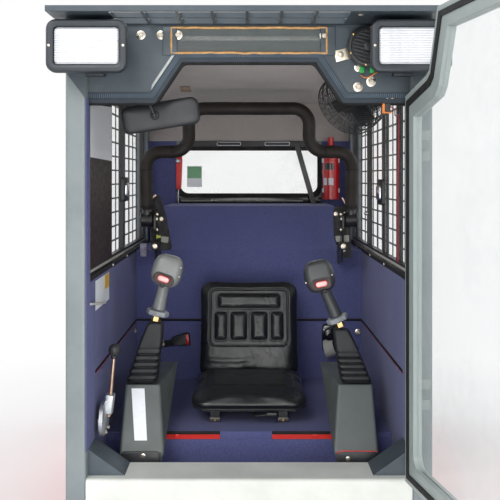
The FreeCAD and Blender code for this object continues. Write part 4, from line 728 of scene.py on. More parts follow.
def header_fixings():
    """Bolts, the zinc tab, connectors and wires on the header."""
    face_bolts = ((141, 35, 0.0085), (161, 35, 0.0085), (178, 35, 0.0085), (324, 36, 0.0085),
                  (358, 87, 0.009), (371, 82, 0.009), (358, 68, 0.007), (387, 100, 0.006),
                  (392, 100, 0.006), (372, 78, 0.005))
    make("header_bolts", "bolt",
         *[("bolt", spot(px, py, HEADER_Y), FORWARD, size) for px, py, size in face_bolts],
         *[("bolt", spot(px, py, -0.905), (0, 0, -1)) for px, py in ((99, 12), (361, 13))])
    for side in SIDES:
        low, high = (0.236 * side - 0.022, HEADER_Y - 0.004, 1.566), (0.236 * side + 0.022, HEADER_Y, 1.653)
        make(f"slot_clamp_{SIDE_NAME[side]}", "header", ("box", low, high, 0.0015))
    make("zinc_tab", "zinc",
         ("about", spot(342, 55, HEADER_Y), (0.022, 0.003, 0.017), (0.022, 0.0, 0.017), 0.001, turned(-14)))
    make("zinc_tab_bolt", "bolt", ("bolt", spot(339.5, 55, HEADER_Y) + FORWARD * 0.003, FORWARD, 0.0075))
    make("green_connectors", "connector",
         *[("about", spot(px, 70, HEADER_Y), (0.007, 0.014, 0.010), (0.007, 0.0, 0.010), 0.0015)
           for px in (361.5, 371.5)])
    wire = ((361, 75, 0.006), (364, 77.5, 0.014), (369, 77, 0.014), (375, 73.5, 0.012), (380, 71, 0.004))
    clip = spot(384.5, 108, HEADER_Y + 0.004)
    make("orange_wire_and_clip", "orange",
         ("tube", smooth_line([spot(px, py, HEADER_Y - out) for px, py, out in wire]), 0.0016, 8),
         ("about", clip, (0.007, 0.008, 0.013), (0.0, 0.008, 0.013), 0.001),
         ("about", clip, (0.007, 0.008, 0.016), (0.020, 0.008, -0.012), 0.001), smooth=50)
    make("clip_body", "plastic", ("about", clip, (-0.001, 0.007, 0.011), (0.017, 0.008, 0.020), 0.0015))
    line = [clip + Vector((0.016, 0, 0.006)), clip + Vector((0.034, 0.02, -0.004)),
            clip + Vector((0.050, 0.10, -0.015)), (0.476, -0.60, 1.38), (0.478, -0.58, 1.16),
            (0.478, -0.58, 0.93)]
    make("red_wire", "wire_red", ("tube", smooth_line(line), 0.0018, 8), smooth=60)


def slot_window():
    """The sealant round the slot pane, uneven as it was squeezed on, and the bar behind it."""
    loop = [(-0.232, 1.573), (0.232, 1.573), (0.232, 1.648), (-0.232, 1.648)]
    uneven = []
    for p in even_path([Vector((x, HEADER_Y - 0.001, z)) for x, z in loop + loop[:1]], 0.006):
        out, up = noise.noise(p * 46.0), noise.noise(p * 31.0 + Vector((5, 1, 2)))
        uneven.append(p + Vector((0, -0.0015 * out, 0.0022 * up)))
    make("slot_sealant", "sealant", ("tube", uneven, 0.0042, 8), smooth=60)
    make("slot_bar", "dark_steel",
         ("box", (-0.226, HEADER_Y + 0.012, 1.612), (0.226, HEADER_Y + 0.022, 1.626), 0.002),
         slot="header_grey")


# Growth beyond the lamp's face, corner and depth of each step.
LAMP_SHELL = ((-0.018, 0.020, -0.802), (-0.012, 0.022, -0.840), (-0.001, 0.028, -0.892),
              (0.0, 0.028, -0.900), (-0.0008, 0.027, -0.9135), (-0.003, 0.025, -0.9185),
              (-0.006, 0.022, -0.920),
              (-0.019, 0.013, -0.920), (-0.0215, 0.011, -0.918), (-0.0225, 0.010, -0.908))
LAMP_DOME = ((-0.0235, 0.010, -0.909), (-0.0245, 0.010, -0.912), (-0.030, 0.010, -0.9145),
             (-0.050, 0.008, -0.916), (-0.062, 0.006, -0.9165))


def lamps():
    """Work lamps: housing with a raised bezel, ribbed lens, bezel screws and foot."""
    shells, lenses, screws = [], [], []
    for side in SIDES:
        x, z = side * 0.455, 1.570
        shell, dome = ([[Vector((x + u, y, z + v))
                         for u, v in rounded(0.114 + grow, 0.075 + grow, corner, 6)]
                        for grow, corner, y in steps] for steps in (LAMP_SHELL, LAMP_DOME))
        shells += [("loops", shell),
                   ("lathe", [(0.024, 0.0), (0.024, 0.042)], (x, -0.802, z), (0, 1, 0), 28),
                   ("box", (x - 0.03, -0.800, 1.500), (x + 0.03, -0.770, 1.512), 0.003)]
        lenses.append(("loops", dome))
        screws += [("screw", (side * (0.455 + out), -0.920, z), FORWARD, 0.0042)
                   for out in (-0.1035, 0.1035)]
    make("lamp_shells", "lamp", *shells, smooth=40, replaces=["work_lamps"])
    make("lamp_glass", "lens", *lenses, smooth=50, replaces=["lamp_lenses"])
    make("lamp_screws", "bolt", *screws)


def horn():
    """The horn: rim, louvred face, centre cap and rim screws."""
    at = Vector((0.353, HEADER_Y, 1.590))
    tilt = turned(14)
    louvres = []
    for i in range(-4, 5):
        up = i * 0.0105
        half = math.sqrt(max(0.0, 0.046 ** 2 - up ** 2))
        size = (half, 0.0035, 0.0030)
        louvres.append(("about", at + tilt @ Vector((0, -0.0265, up)), size, size, 0.0012, tilt))
    make("horn_body", "plastic",
         ("lathe", [(0.046, 0.0), (0.050, 0.010), (0.062, 0.016), (0.062, 0.024), (0.058, 0.0285),
                    (0.052, 0.030), (0.050, 0.026), (0.012, 0.024)], at, FORWARD, 56),
         *louvres,
         ("lathe", [(0.016, 0.024), (0.015, 0.033), (0.010, 0.0345), (0.004, 0.035)], at, FORWARD, 28),
         smooth=40, replaces=["horn"])
    angles = [math.radians(60 * i + 22) for i in range(6)]
    make("horn_screws", "brass",
         *[("screw", at + Vector((0.056 * math.cos(t), -0.0292, 0.056 * math.sin(t))), FORWARD, 0.0036)
           for t in angles])


def mirror():
    """The mirror's shell with its soft back, ball joint and arm."""
    centre = Vector((-0.2712, -0.7094, 1.392))
    turn = turned(-9)
    steps = ((0.034, 0.0000), (0.020, 0.0008), (0.010, 0.0030), (0.004, 0.0062), (0.001, 0.0105),
             (0.0, 0.0150), (0.0, 0.0195), (0.0015, 0.0205), (0.005, 0.0205), (0.0065, 0.0190))
    shell = [[centre + turn @ Vector((u, y, v)) for u, v in
              rounded(0.120 - inset, 0.0425 - min(inset, 0.030), max(0.024 - inset * 0.6, 0.004), 7)]
             for inset, y in steps]
    make("mirror_shell", "plastic", ("loops", shell), smooth=50, replaces=["mirror_housing"])
    ball = centre + Vector((-0.016, -0.004, -0.001))
    socket = [(0.0085 * math.sin(t), -0.007 - 0.0085 * math.cos(t)) for t in (0.15, 0.5, 0.9, 1.3, 1.8, 2.4)]
    make("mirror_joint", "plastic",
         ("lathe", [(0.0135, 0.008), (0.0135, 0.0), (0.011, -0.003), (0.008, -0.004)], ball, (0, 1, 0), 28),
         ("lathe", socket, ball, (0, 1, 0), 24),
         ("rod", ball + Vector((0, -0.006, 0)), (ball.x - 0.022, HEADER_Y + 0.014, 1.446), 0.0048, 14),
         ("box", (ball.x - 0.044, HEADER_Y + 0.008, 1.432), (ball.x - 0.004, HEADER_Y + 0.022, 1.476),
          0.003), smooth=50)


def fan():
    """The fan: two wire grilles, rim, motor, bracket and ceiling foot."""
    centre = Vector((0.330, -0.600, 1.447))
    axis = Vector((-0.35, 0.85, -0.4)).normalized()
    turn = Vector((0, 0, 1)).rotation_difference(axis).to_matrix()
    radius, half = 0.105, 0.042
    rings, spokes, ring_points = 12, 30, 56
    wires = []

    def at(r, angle, h):
        return centre + turn @ Vector((r * math.cos(angle), r * math.sin(angle), h))

    def ring(r, h, thick):
        points = [at(r, 2 * math.pi * i / ring_points, h) for i in range(ring_points)]
        wires.append(("tube", points, thick, 6, True))

    def bulge(r):
        return half - 0.012 * (r / radius) ** 3

    for i in range(rings + 1):
        r = 0.026 + (radius - 0.028) * i / rings
        ring(r, bulge(r), 0.0009)
        ring(max(r, 0.040), -bulge(r), 0.0009)
    for h, thick in ((-0.029, 0.0018), (0.029, 0.0018), (0.0, 0.0022)):
        ring(radius, h, thick)
    for i in range(spokes):
        angle = 2 * math.pi * i / spokes
        line = [at(r, angle, bulge(r)) for r in (0.022, 0.045, 0.07, 0.09, 0.103)]
        line += [at(radius, angle, h) for h in (0.026, 0.0, -0.026)]
        line += [at(r, angle, -bulge(r)) for r in (0.103, 0.09, 0.07, 0.045, 0.038)]
        wires.append(("tube", line, 0.0009, 5))
    cap = [(0.025, -0.003), (0.026, 0.0), (0.022, 0.003), (0.010, 0.0042)]
    make("fan_grille", "black", *wires, ("lathe", cap, centre + axis * half, axis, 28),
         smooth=60, replaces=["fan_cage"])
    tail = centre - axis * (half + 0.017)
    make("fan_motor", "plastic",
         ("lathe", [(0.020, -0.028), (0.034, -0.026), (0.041, -0.020), (0.042, 0.004), (0.036, 0.012),
                    (0.006, 0.013), (0.004, 0.030)], centre - axis * half, axis, 36),
         ("rod", tail, (tail.x, tail.y, 1.563), 0.0095, 20),
         ("lathe", [(0.024, 0.0), (0.024, 0.004), (0.020, 0.007)], (tail.x, tail.y, 1.5635), (0, 0, -1), 28),
         smooth=45)


# Seat

def inflated(thing, cap, smoothing):
    """Remesh a closed form, swell it as cloth, hold every point within a cap and round it off."""
    voxel, pressure, frames = 0.0055, 4.0, 20
    modified(thing, "REMESH", mode="VOXEL", voxel_size=voxel)
    before = [v.co.copy() for v in thing.data.vertices]
    cloth = thing.modifiers.new("cloth", "CLOTH")
    cloth.settings.use_pressure = True
    cloth.settings.uniform_pressure_force = pressure
    cloth.settings.effector_weights.gravity = 0.0
    cloth.settings.tension_stiffness = 20.0
    cloth.settings.bending_stiffness = 1.5
    scene = bpy.context.scene
    for step in range(1, frames + 1):
        scene.frame_set(step)
    apply_modifiers(thing)
    scene.frame_set(1)
    for vert, start in zip(thing.data.vertices, before):
        move = vert.co - start
        if move.length > cap:
            vert.co = start + move.normalized() * cap
    modified(thing, "SMOOTH", factor=0.5, iterations=smoothing)


def smoothstep(value, low, high):
    share = min(1.0, max(0.0, (value - low) / (high - low)))
    return share * share * (3 - 2 * share)


def hump(value, middle, width):
    """A soft ridge, 1 at its middle."""
    return math.exp(-((value - middle) / width) ** 2)


def edge_distance(u, v, low_u, high_u, low_v, high_v, corner):
    """How far outside a rounded rectangle a point lies, negative inside."""
    across = abs(u - (low_u + high_u) / 2) - (high_u - low_u) / 2 + corner
    up = abs(v - (low_v + high_v) / 2) - (high_v - low_v) / 2 + corner
    outside = math.hypot(max(across, 0), max(up, 0))
    return outside + min(max(across, up), 0) - corner


def padded_relief(u, v, frame_box, pads, corner):
    """Height of the sewn front: a groove round the panel, and soft pads raised inside it."""
    rim = edge_distance(u, v, *frame_box, corner)
    height = -0.0065 * hump(rim, 0, 0.0045)
    if rim > 0:
        return height
    nearest = min(edge_distance(u, v, *pad, 0.012) for pad in pads)
    pillow = smoothstep(-nearest, -0.003, 0.020)
    seam = hump(nearest, 0.001, 0.0036)
    return height + (0.0080 * pillow - 0.0045 - 0.0030 * seam) * smoothstep(-rim, 0.0, 0.010)


def fitted(thing, rest, axes, low, high):
    """Bring a swollen form back to its solid's size, in its own directions."""
    back = axes.inverted()
    places = [back @ (vert.co - rest) for vert in thing.data.vertices]
    for k in range(3):
        least, most = min(p[k] for p in places), max(p[k] for p in places)
        for p in places:
            p[k] = low[k] + (p[k] - least) * (high[k] - low[k]) / (most - least)
    for vert, p in zip(thing.data.vertices, places):
        vert.co = rest + axes @ p


def padded(name, node, rings, rest, axes, spans, cap, smoothing, dent):
    """A vinyl pad: a closed form, swollen and fitted, then sewn; dent gives each point's last place."""
    piece = Piece()
    piece.loops(rings)
    thing = piece.as_object(name)
    inflated(thing, cap, smoothing)
    fitted(thing, rest, axes, *spans)
    modified(thing, "SUBSURF", levels=1)
    back = axes.inverted()
    for vert in thing.data.vertices:
        vert.co = dent(vert.co, back @ (vert.co - rest))
    thing.data.update()
    dress(thing, "vinyl", "vinyl", "seat", [node])


BACK_LEAN = math.atan2(0.095, 0.344)


def seat_back():
    """The backrest: a leaning pad with a sewn panel of one level and four upright pads."""
    foot = Vector((0, 0.0, 0.437))
    axes = Matrix.Rotation(-BACK_LEAN, 3, "X") @ Matrix(((1, 0, 0), (0, 0, -1), (0, 1, 0)))
    tall = 0.344 / math.cos(BACK_LEAN)
    middle = (tall - 0.036) / 2
    half_v = (tall + 0.036) / 2 - 0.008
    rings = []
    for level, inset in ((-0.060, 0.024), (-0.054, 0.010), (-0.042, 0.002), (-0.030, 0.0), (-0.021, 0.001),
                         (-0.013, 0.005), (-0.007, 0.012), (-0.003, 0.023), (-0.001, 0.036), (0.0, 0.052)):
        rings.append([foot + axes @ Vector((u * (1.0 - 0.03 * (v / half_v) ** 2), v + middle, level - 0.006))
                      for u, v in rounded(0.184 - inset, half_v - inset, 0.046 - inset * 0.5, 8)])
    pads = [(-0.127, 0.127, 0.250, 0.309)]
    for low, high in ((0.0075, 0.0745), (0.0865, 0.138)):
        pads += [(low, high, 0.124, 0.236), (-high, -low, 0.124, 0.236)]

    def dent(place, local):
        facing_out = smoothstep(local.z, -0.030, -0.012)
        rise = padded_relief(local.x, local.y, (-0.156, 0.156, 0.104, 0.325), pads, 0.022)
        fold = hump(local.y - 0.047 - 0.004 * math.sin(local.x * 19), 0, 0.010)
        rise += 0.0035 * fold * smoothstep(0.03 - local.x, 0.0, 0.06) * smoothstep(0.19 + local.x, 0.0, 0.05)
        rise += 0.0011 * noise.noise(local * 26.0) + 0.0006 * noise.noise(local * 70.0)
        local.z += rise * facing_out
        place = foot + axes @ local
        place.y = max(place.y, 0.0006)
        return place

    spans = ((-0.1965, -0.024, -0.066), (0.1965, 0.3600, -0.001))
    padded("seat_backrest", "seat_back", rings, foot, axes, spans, 0.010, 46, dent)


def seat_cushion():
    """The seat cushion: crowned, falling away in front, with a sewn line round its top."""
    rest = Vector((0, -0.200, 0.3935))
    rings = []
    for level, inset in ((0.000, 0.009), (0.003, 0.002), (0.010, 0.0), (0.022, -0.001), (0.035, 0.001),
                         (0.045, 0.008), (0.053, 0.019), (0.058, 0.034)):
        ring = []
        for u, v in rounded(0.192 - inset, 0.190 - inset, 0.062 - inset * 0.4, 8):
            nose = 0.046 * smoothstep(level, 0.022, 0.058) * smoothstep(-v, 0.02, 0.17)
            ring.append(rest + Vector((u, v + nose, level)))
        rings.append(ring)
    pads = [(-0.148, 0.148, -0.105, 0.138)]

    def dent(place, local):
        facing_up = smoothstep(local.z, 0.034, 0.050)
        rise = padded_relief(local.x, local.y, (-0.158, 0.158, -0.118, 0.150), pads, 0.034)
        rise += 0.0010 * noise.noise(local * 26.0)
        piping = hump(local.z, 0.0085, 0.0034) * smoothstep(-local.y, 0.10, 0.16)
        return Vector((place.x, min(place.y - 0.0026 * piping, -0.002),
                       max(place.z + rise * facing_up, 0.3928)))

    spans = ((-0.203, -0.205, -0.0007), (0.203, 0.196, 0.068))
    padded("seat_cushion_pad", "seat_cushion", rings, rest, Matrix.Identity(3), spans, 0.014, 14, dent)


def seat_trim():
    """Piping, the pan's screws, the slide lever and the rails' front bolts."""
    line = [Vector((u, -0.204 + v, 0.4035)) for u, v in rounded(0.1955, 0.1925, 0.055, 10)]
    make("cushion_piping", "boot", ("tube", line, 0.0032, 8, True), slot="vinyl", body="seat", smooth=60)
    make("seat_screws", "bolt", *[("screw", (x, -0.3405, 0.386), FORWARD, 0.0045) for x in (-0.124, 0.130)],
         body="seat")
    line = rounded_path([(0.018, -0.30, 0.374), (0.018, -0.372, 0.372), (0.075, -0.386, 0.384)], 0.012, 6)
    make("seat_slide_lever", "black", ("tube", line, 0.004, 10),
         ("box", (0.060, -0.393, 0.3765), (0.098, -0.383, 0.391), 0.004), body="seat", smooth=50)
    make("rail_bolts", "brass",
         *[("bolt", (side * 0.1195 + 0.0006, -0.3345, 0.3488), FORWARD, 0.0048) for side in SIDES])
    make("rail_end_plates", "dark_steel",
         *[("box", (side * 0.120 - 0.019, -0.3368, 0.342), (side * 0.120 + 0.019, -0.3342, 0.358), 0.0008)
           for side in SIDES])


# Lap bar

def bar_point(side, out, up):
    """A point on the lap bar's leaning plane, counted from its pivot."""
    return Vector((side * out, 0.110 - 0.080 * up / 0.446, 1.030 + up))


def lap_bar():
    """The foam sleeve over the bar, slightly uneven, with its joints at the shoulders."""
    line = []
    for side in SIDES:
        arm = [bar_point(side, 0.415, 0.0456), bar_point(side, 0.415, 0.275),
               bar_point(side, 0.240, 0.275), bar_point(side, 0.240, 0.446)]
        line += arm if side < 0 else arm[::-1]
    path = even_path(rounded_path(line, 0.064, 10), 0.012)
    make("lap_bar_sleeve", "foam", ("sleeve", path, 0.0255), body="lap_bar", smooth=60, replaces=["lap_bar"])
    cuffs = []
    for side in SIDES:
        for low, high in ((0.050, 0.062), (0.205, 0.2085)):
            a, b = bar_point(side, 0.415, low), bar_point(side, 0.415, high)
            long = (b - a).length
            cuffs.append(("lathe", [(0.0262, 0.0), (0.0272, 0.0008), (0.0272, long - 0.0008),
                                    (0.0262, long)], a, b - a, 28))
        a, b = bar_point(side, 0.305, 0.275), bar_point(side, 0.3085, 0.275)
        cuffs.append(("lathe", [(0.0262, 0.0), (0.0270, 0.0006), (0.0270, 0.003), (0.0262, 0.0035)],
                      a, b - a, 28))
    make("lap_bar_cuffs", "rubber", *cuffs, body="lap_bar")
    hubs = []
    lean = (bar_point(1, 0.415, 1.0) - bar_point(1, 0.415, 0.0)).normalized()
    for side in SIDES:
        pivot = bar_point(side, 0.415, 0.0)
        out = Vector((side, 0, 0))
        inner = pivot - out * 0.026
        hubs += [("lathe", [(0.0270, 0.0), (0.0300, 0.003), (0.0300, 0.049), (0.0270, 0.052), (0.015, 0.052),
                            (0.013, 0.056), (0.004, 0.056)], inner, out, 40),
                 ("lathe", [(0.019, 0.0), (0.019, 0.043), (0.017, 0.0462)], pivot, lean, 28),
                 ("lathe", [(0.010, -0.018), (0.010, 0.0), (0.010, 0.004)], inner, out, 24)]
    make("bar_pivot_hubs", "black", *hubs, body="lap_bar", smooth=40, replaces=["lap_bar_hubs"])


# Levers, boots and pods

HEAD_TILT = {-1: 15, 1: 13}
HEAD_PIXELS = {-1: (167.5, 270.2), 1: (319.1, 275.7)}
BOOT_TALL = {-1: 0.985, 1: 0.875}
LIFT = {-1: 0.0032, 1: 0.0054}
# Pixels of each lever's button, its tilt, the boss below it and two side screws.
LEVER_PIXELS = {-1: ((163.5, 279), 20, (162.5, 285.5), ((179, 277), (181, 268))),
                1: ((321.4, 284), -12, (325, 291), ((306, 283), (332, 275)))}
# Parts of a button: name, finish, smoothing, and half width, half height and depth of its steps.
BUTTON_PARTS = (
    ("button_dish", "recess", 50, ((0.0360, 0.0190, 0.0060), (0.0365, 0.0195, -0.0008),
                                   (0.0345, 0.0178, -0.0024), (0.0270, 0.0130, -0.0010))),
    ("button_rim", "button_rim", 50, ((0.0212, 0.0106, 0.0020), (0.0212, 0.0106, -0.0044),
                                      (0.0200, 0.0096, -0.0058), (0.0184, 0.0082, -0.0054))),
    ("button", "button", 60, ((0.0182, 0.0080, -0.0030), (0.0182, 0.0080, -0.0058),
                              (0.0150, 0.0062, -0.0070), (0.0080, 0.0030, -0.0076))),
)
# Level, half width and half depth of a lever head's steps.
HEAD_STEPS = ((-0.0535, 0.024, 0.021), (-0.0505, 0.033, 0.027), (-0.0430, 0.0425, 0.0325),
              (-0.0310, 0.0485, 0.036), (-0.0150, 0.0515, 0.0375), (0.0040, 0.0515, 0.0375),
              (0.0210, 0.0495, 0.0360), (0.0350, 0.0455, 0.0330), (0.0450, 0.0385, 0.0275),
              (0.0510, 0.0290, 0.0205), (0.0535, 0.0165, 0.0110))
BUTTON_Y = -0.4665


def boot_axis(side):
    """Middle of a boot at its foot and at its top."""
    tall = BOOT_TALL[side]
    y, z = -0.430, 0.5144
    return Vector((side * 0.3555, y, z)), Vector((side * (0.31725 - 0.045 * (1 - tall)), y, z + 0.2 * tall))


def lever(side):
    """A lever: brass nut, faceted collar, tube, broad head, recessed button and its boss."""
    name = SIDE_NAME[side]
    carries = side > 0
    base = boot_axis(side)[1] + Vector((0, 0, LIFT[side]))
    head = spot(*HEAD_PIXELS[side], base.y)
    up = (head - base).normalized()
    make(f"{name}_lever_nut", "brass",
         ("lathe", [(0.0152, 0.0), (0.0165, 0.001), (0.0165, 0.0175), (0.0150, 0.0198)], base, up, 6),
         smooth=30, replaces=["lever_nuts"] if carries else [])
    make(f"{name}_lever_collar", "collar",
         ("lathe", [(0.030, 0.0196), (0.0365, 0.0208), (0.0385, 0.0240), (0.0385, 0.0340), (0.0368, 0.0372),
                    (0.029, 0.0385)], base, up, 8), smooth=30)
    reach = (head - base).length
    stem = [(0.0235, 0.0375), (0.0222, 0.0450), (0.0206, 0.0600), (0.0190, reach * 0.5),
            (0.0190, reach - 0.055), (0.0215, reach - 0.035)]
    turn = turned(-side * HEAD_TILT[side])
    rings = [[head + turn @ Vector((u, v, level)) for u, v in rounded(wide, deep, min(wide, deep) * 0.62, 6)]
             for level, wide, deep in HEAD_STEPS]
    make(f"{name}_lever_grip", "grip" if carries else "pale_grip", ("lathe", stem, base, up, 36),
         ("loops", rings), smooth=38, replaces=["joysticks"] if carries else [], level=1)
    button, tilt, boss, screws = LEVER_PIXELS[side]
    spin = turned(tilt)
    at = spot(*button, BUTTON_Y)
    for part, finish, smooth, steps in BUTTON_PARTS:
        make(f"{name}_{part}", finish,
             ("loops", [[at + spin @ Vector((u, depth, v))
                         for u, v in rounded(half_u, half_v, half_v * 0.98, 7)]
                        for half_u, half_v, depth in steps]), smooth=smooth)
    make(f"{name}_lever_boss", "plastic",
         ("lathe", [(0.0068, -0.012), (0.0068, 0.006), (0.0050, 0.009), (0.0020, 0.0095)],
          spot(*boss, BUTTON_Y + 0.006), FORWARD, 20), smooth=50)
    make(f"{name}_lever_screws", "bolt",
         *[("screw", spot(*pixel, BUTTON_Y + 0.004), FORWARD, 0.0028) for pixel in screws])


def boot(side):
    """A rubber bellows boot: square ribs below, a plain four-sided neck above."""
    foot, top = boot_axis(side)
    foot = foot + Vector((side * 0.0065, 0, 0))
    steps = [(0.0, 0.0505, 0.22), (0.004, 0.0508, 0.22), (0.006, 0.0475, 0.25)]
    for i in range(5):
        start = 0.007 + i * 0.0215
        outer = 0.0500 - i * 0.0024
        inner = outer - 0.0075
        steps += [(start + 0.0006, inner, 0.28), (start + 0.0030, inner + 0.0012, 0.26),
                  (start + 0.0050, outer - 0.0008, 0.24), (start + 0.0090, outer, 0.22),
                  (start + 0.0165, outer - 0.0010, 0.24), (start + 0.0200, inner + 0.0030, 0.28)]
    steps += [(0.1170, 0.0395, 0.25), (0.128, 0.0380, 0.27), (0.160, 0.0330, 0.30), (0.188, 0.0280, 0.40),
              (0.1962, 0.0262, 0.55), (0.1985, 0.0238, 0.70), (0.2, 0.0190, 0.80)]
    rings = []
    for rise, half, share in steps:
        middle = foot.lerp(top, min(1.0, rise / 0.2))
        middle.z = foot.z + rise * BOOT_TALL[side]
        rings.append([middle + Vector((u, v, 0)) for u, v in rounded(half, half, half * share, 7)])
    make(f"{SIDE_NAME[side]}_bellows", "boot", ("loops", rings), smooth=50,
         replaces=["lever_boots"] if side > 0 else [], level=1)


def on_pod(px, py):
    """A point on the pods' sloped front, by pixel."""
    eye = Vector((0.0, CAMERA_Y, CAMERA_Z))
    way = Vector(((px - CENTRE[0]) / PIXELS, 1.0, -(py - CENTRE[1]) / PIXELS))
    return eye + way * ((POD_FOOT - eye).dot(POD_NORMAL) / way.dot(POD_NORMAL))


POD_FOOT = Vector((0, -0.600, 0.329))
POD_NORMAL = Vector((0, -0.181, 0.120)).normalized()


def pod_trim():
    """The blank label, toe plates and their screws on the pods."""
    corners = [on_pod(*pixel) for pixel in ((131.5, 388.5), (144.5, 388.5), (147, 440.5), (134.5, 440.5))]
    make("pod_blank_label", "white", ("slab", corners, POD_NORMAL, 0.0008))
    foot = 0.298
    toes = []
    for low_x, high_x in ((-0.408, -0.282), (0.277, 0.412)):
        rings = []
        for y, inset in ((-0.6, 0.0), (-0.6035, 0.0), (-0.6050, 0.003)):
            low, high, top = foot - 0.040, foot + 0.024 - inset, foot + 0.032 - inset
            rings.append([Vector((x, y, z)) for x, z in
                          ((low_x + inset, low), (high_x - inset, low), (high_x - inset, high),
                           (high_x - 0.012, top), (low_x + 0.012, top), (low_x + inset, high))])
        toes.append(("loops", rings))
    make("pod_toe_plates", "plastic", *toes, slot="pod_plastic", smooth=40)
    edge = [(0.281, -0.6035, 0.322), (0.290, -0.6040, 0.3305), (0.345, -0.6040, 0.3312),
            (0.408, -0.6035, 0.3300)]
    make("toe_plate_red_edge", "red_strip", ("tube", smooth_line(edge, 5), 0.0014, 8), smooth=60)
    make("toe_plate_screws", "bolt",
         *[("bolt", spot(px, py, -0.605), FORWARD, 0.0050) for px, py in ((143, 456), (348, 459))])


def brake():
    """The brake lever: cast ratchet sector, bare rod and black knob."""
    foot, top = Vector((-0.4445, -0.614, 0.445)), Vector((-0.4245, -0.624, 0.657))
    make("brake_rod", "copper", ("rod", foot, top, 0.0058, 20), smooth=40)
    profile = [(0.0095, -0.026), (0.0105, -0.022), (0.0085, -0.017)]
    profile += [(0.020 * math.sin(t), -0.020 * math.cos(t)) for t in
                (0.50, 0.75, 1.0, 1.3, 1.6, 1.9, 2.2, 2.5, 2.8, 3.0)]
    make("brake_ball", "plastic", ("lathe", profile, top, top - foot), smooth=60, replaces=["brake_knob"])
    x0, x1 = -0.4625, -0.4555
    outline = curved_outline([(-0.682, 0.402), (-0.655, 0.3965), (-0.628, 0.402), (-0.592, 0.402),
                              (-0.572, 0.425), (-0.568, 0.470), (-0.588, 0.492), (-0.645, 0.500),
                              (-0.682, 0.480), (-0.692, 0.440)])
    middle = sum(outline, Vector((0, 0))) / len(outline)
    sector = [[Vector((x, *(p + (middle - p).normalized() * inset))) for p in outline]
              for x, inset in ((x0, 0.0), (x1 + 0.004, 0.0), (x1 + 0.006, 0.0025))]
    teeth = []
    for i in range(7):
        angle = math.radians(150 - i * 14)
        y, z = -0.612 + 0.036 * math.cos(angle), 0.440 + 0.050 * math.sin(angle)
        teeth.append(("box", (x0 + 0.002, y - 0.0026, z - 0.004), (x1 + 0.003, y + 0.0026, z + 0.006),
                      0.001))
    make("brake_ratchet", "cast", ("loops", sector), *teeth,
         ("box", (-0.480, -0.618, 0.396), (x0 + 0.001, -0.594, 0.436), 0.002),
         ("box", (-0.4560, -0.634, 0.455), (-0.4290, -0.598, 0.517), 0.004, turned(7)),
         smooth=40, replaces=["brake_lever"])
    make("brake_bolts", "bolt", *[("bolt", (x1 + 0.006, y, z), (1, 0, 0), 0.0048) for y, z in
                                  ((-0.636, 0.402), (-0.592, 0.404), (-0.598, 0.478))])


# Small fittings

def linings():
    """Felt on the posts' inner faces, round the rear window and over the platform's edge."""
    spans = (((0.4775, 0.4802), (-0.798, -0.742), (0.394, 1.434)),
             ((0.4775, 0.4802), (-0.743, -0.662), (0.394, 0.886)),
             ((0.4845, 0.4882), (0.702, 0.779), (0.894, 1.380)),
             ((0.3560, 0.4846), (0.7762, 0.7802), (0.894, 1.380)),
             ((0.4135, 0.4795), (-0.4490, -0.4446), (0.315, 0.3370)))
    make("felt_linings", "carpet", *[("side_box", side, *span) for side in SIDES for span in spans],
         ("box", (-0.098, -0.4495, 0.313), (0.078, -0.4446, 0.3445), 0.002), smooth=50)
    make("platform_edge_rubber", "rubber",
         *[("box", (low_x, -0.4485, 0.3345), (high_x, -0.4446, 0.3450), 0.0012)
           for low_x, high_x in ((-0.286, -0.098), (0.078, 0.274))], smooth=50)
    make("platform_edge_bolts", "red_strip",
         *[("bolt", spot(px, 436, -0.4452), FORWARD, 0.0055) for px in (176, 316)])
    make("carpet_seam_bead", "rubber",
         ("tube", [(-0.479, 0.2625, 0.5955), (0.479, 0.2625, 0.5955)], 0.0042, 10),
         *[("tube", [(side * 0.4793, -0.66, 0.5955), (side * 0.4793, 0.262, 0.5955)], 0.0036, 10)
           for side in SIDES], smooth=60)
    make("carpet_seam_red_line", "red_strip",
         *[("tube", [(side * 0.4795, -0.66, 0.5898), (side * 0.4795, 0.262, 0.5898)], 0.0013, 8)
           for side in SIDES], smooth=60)


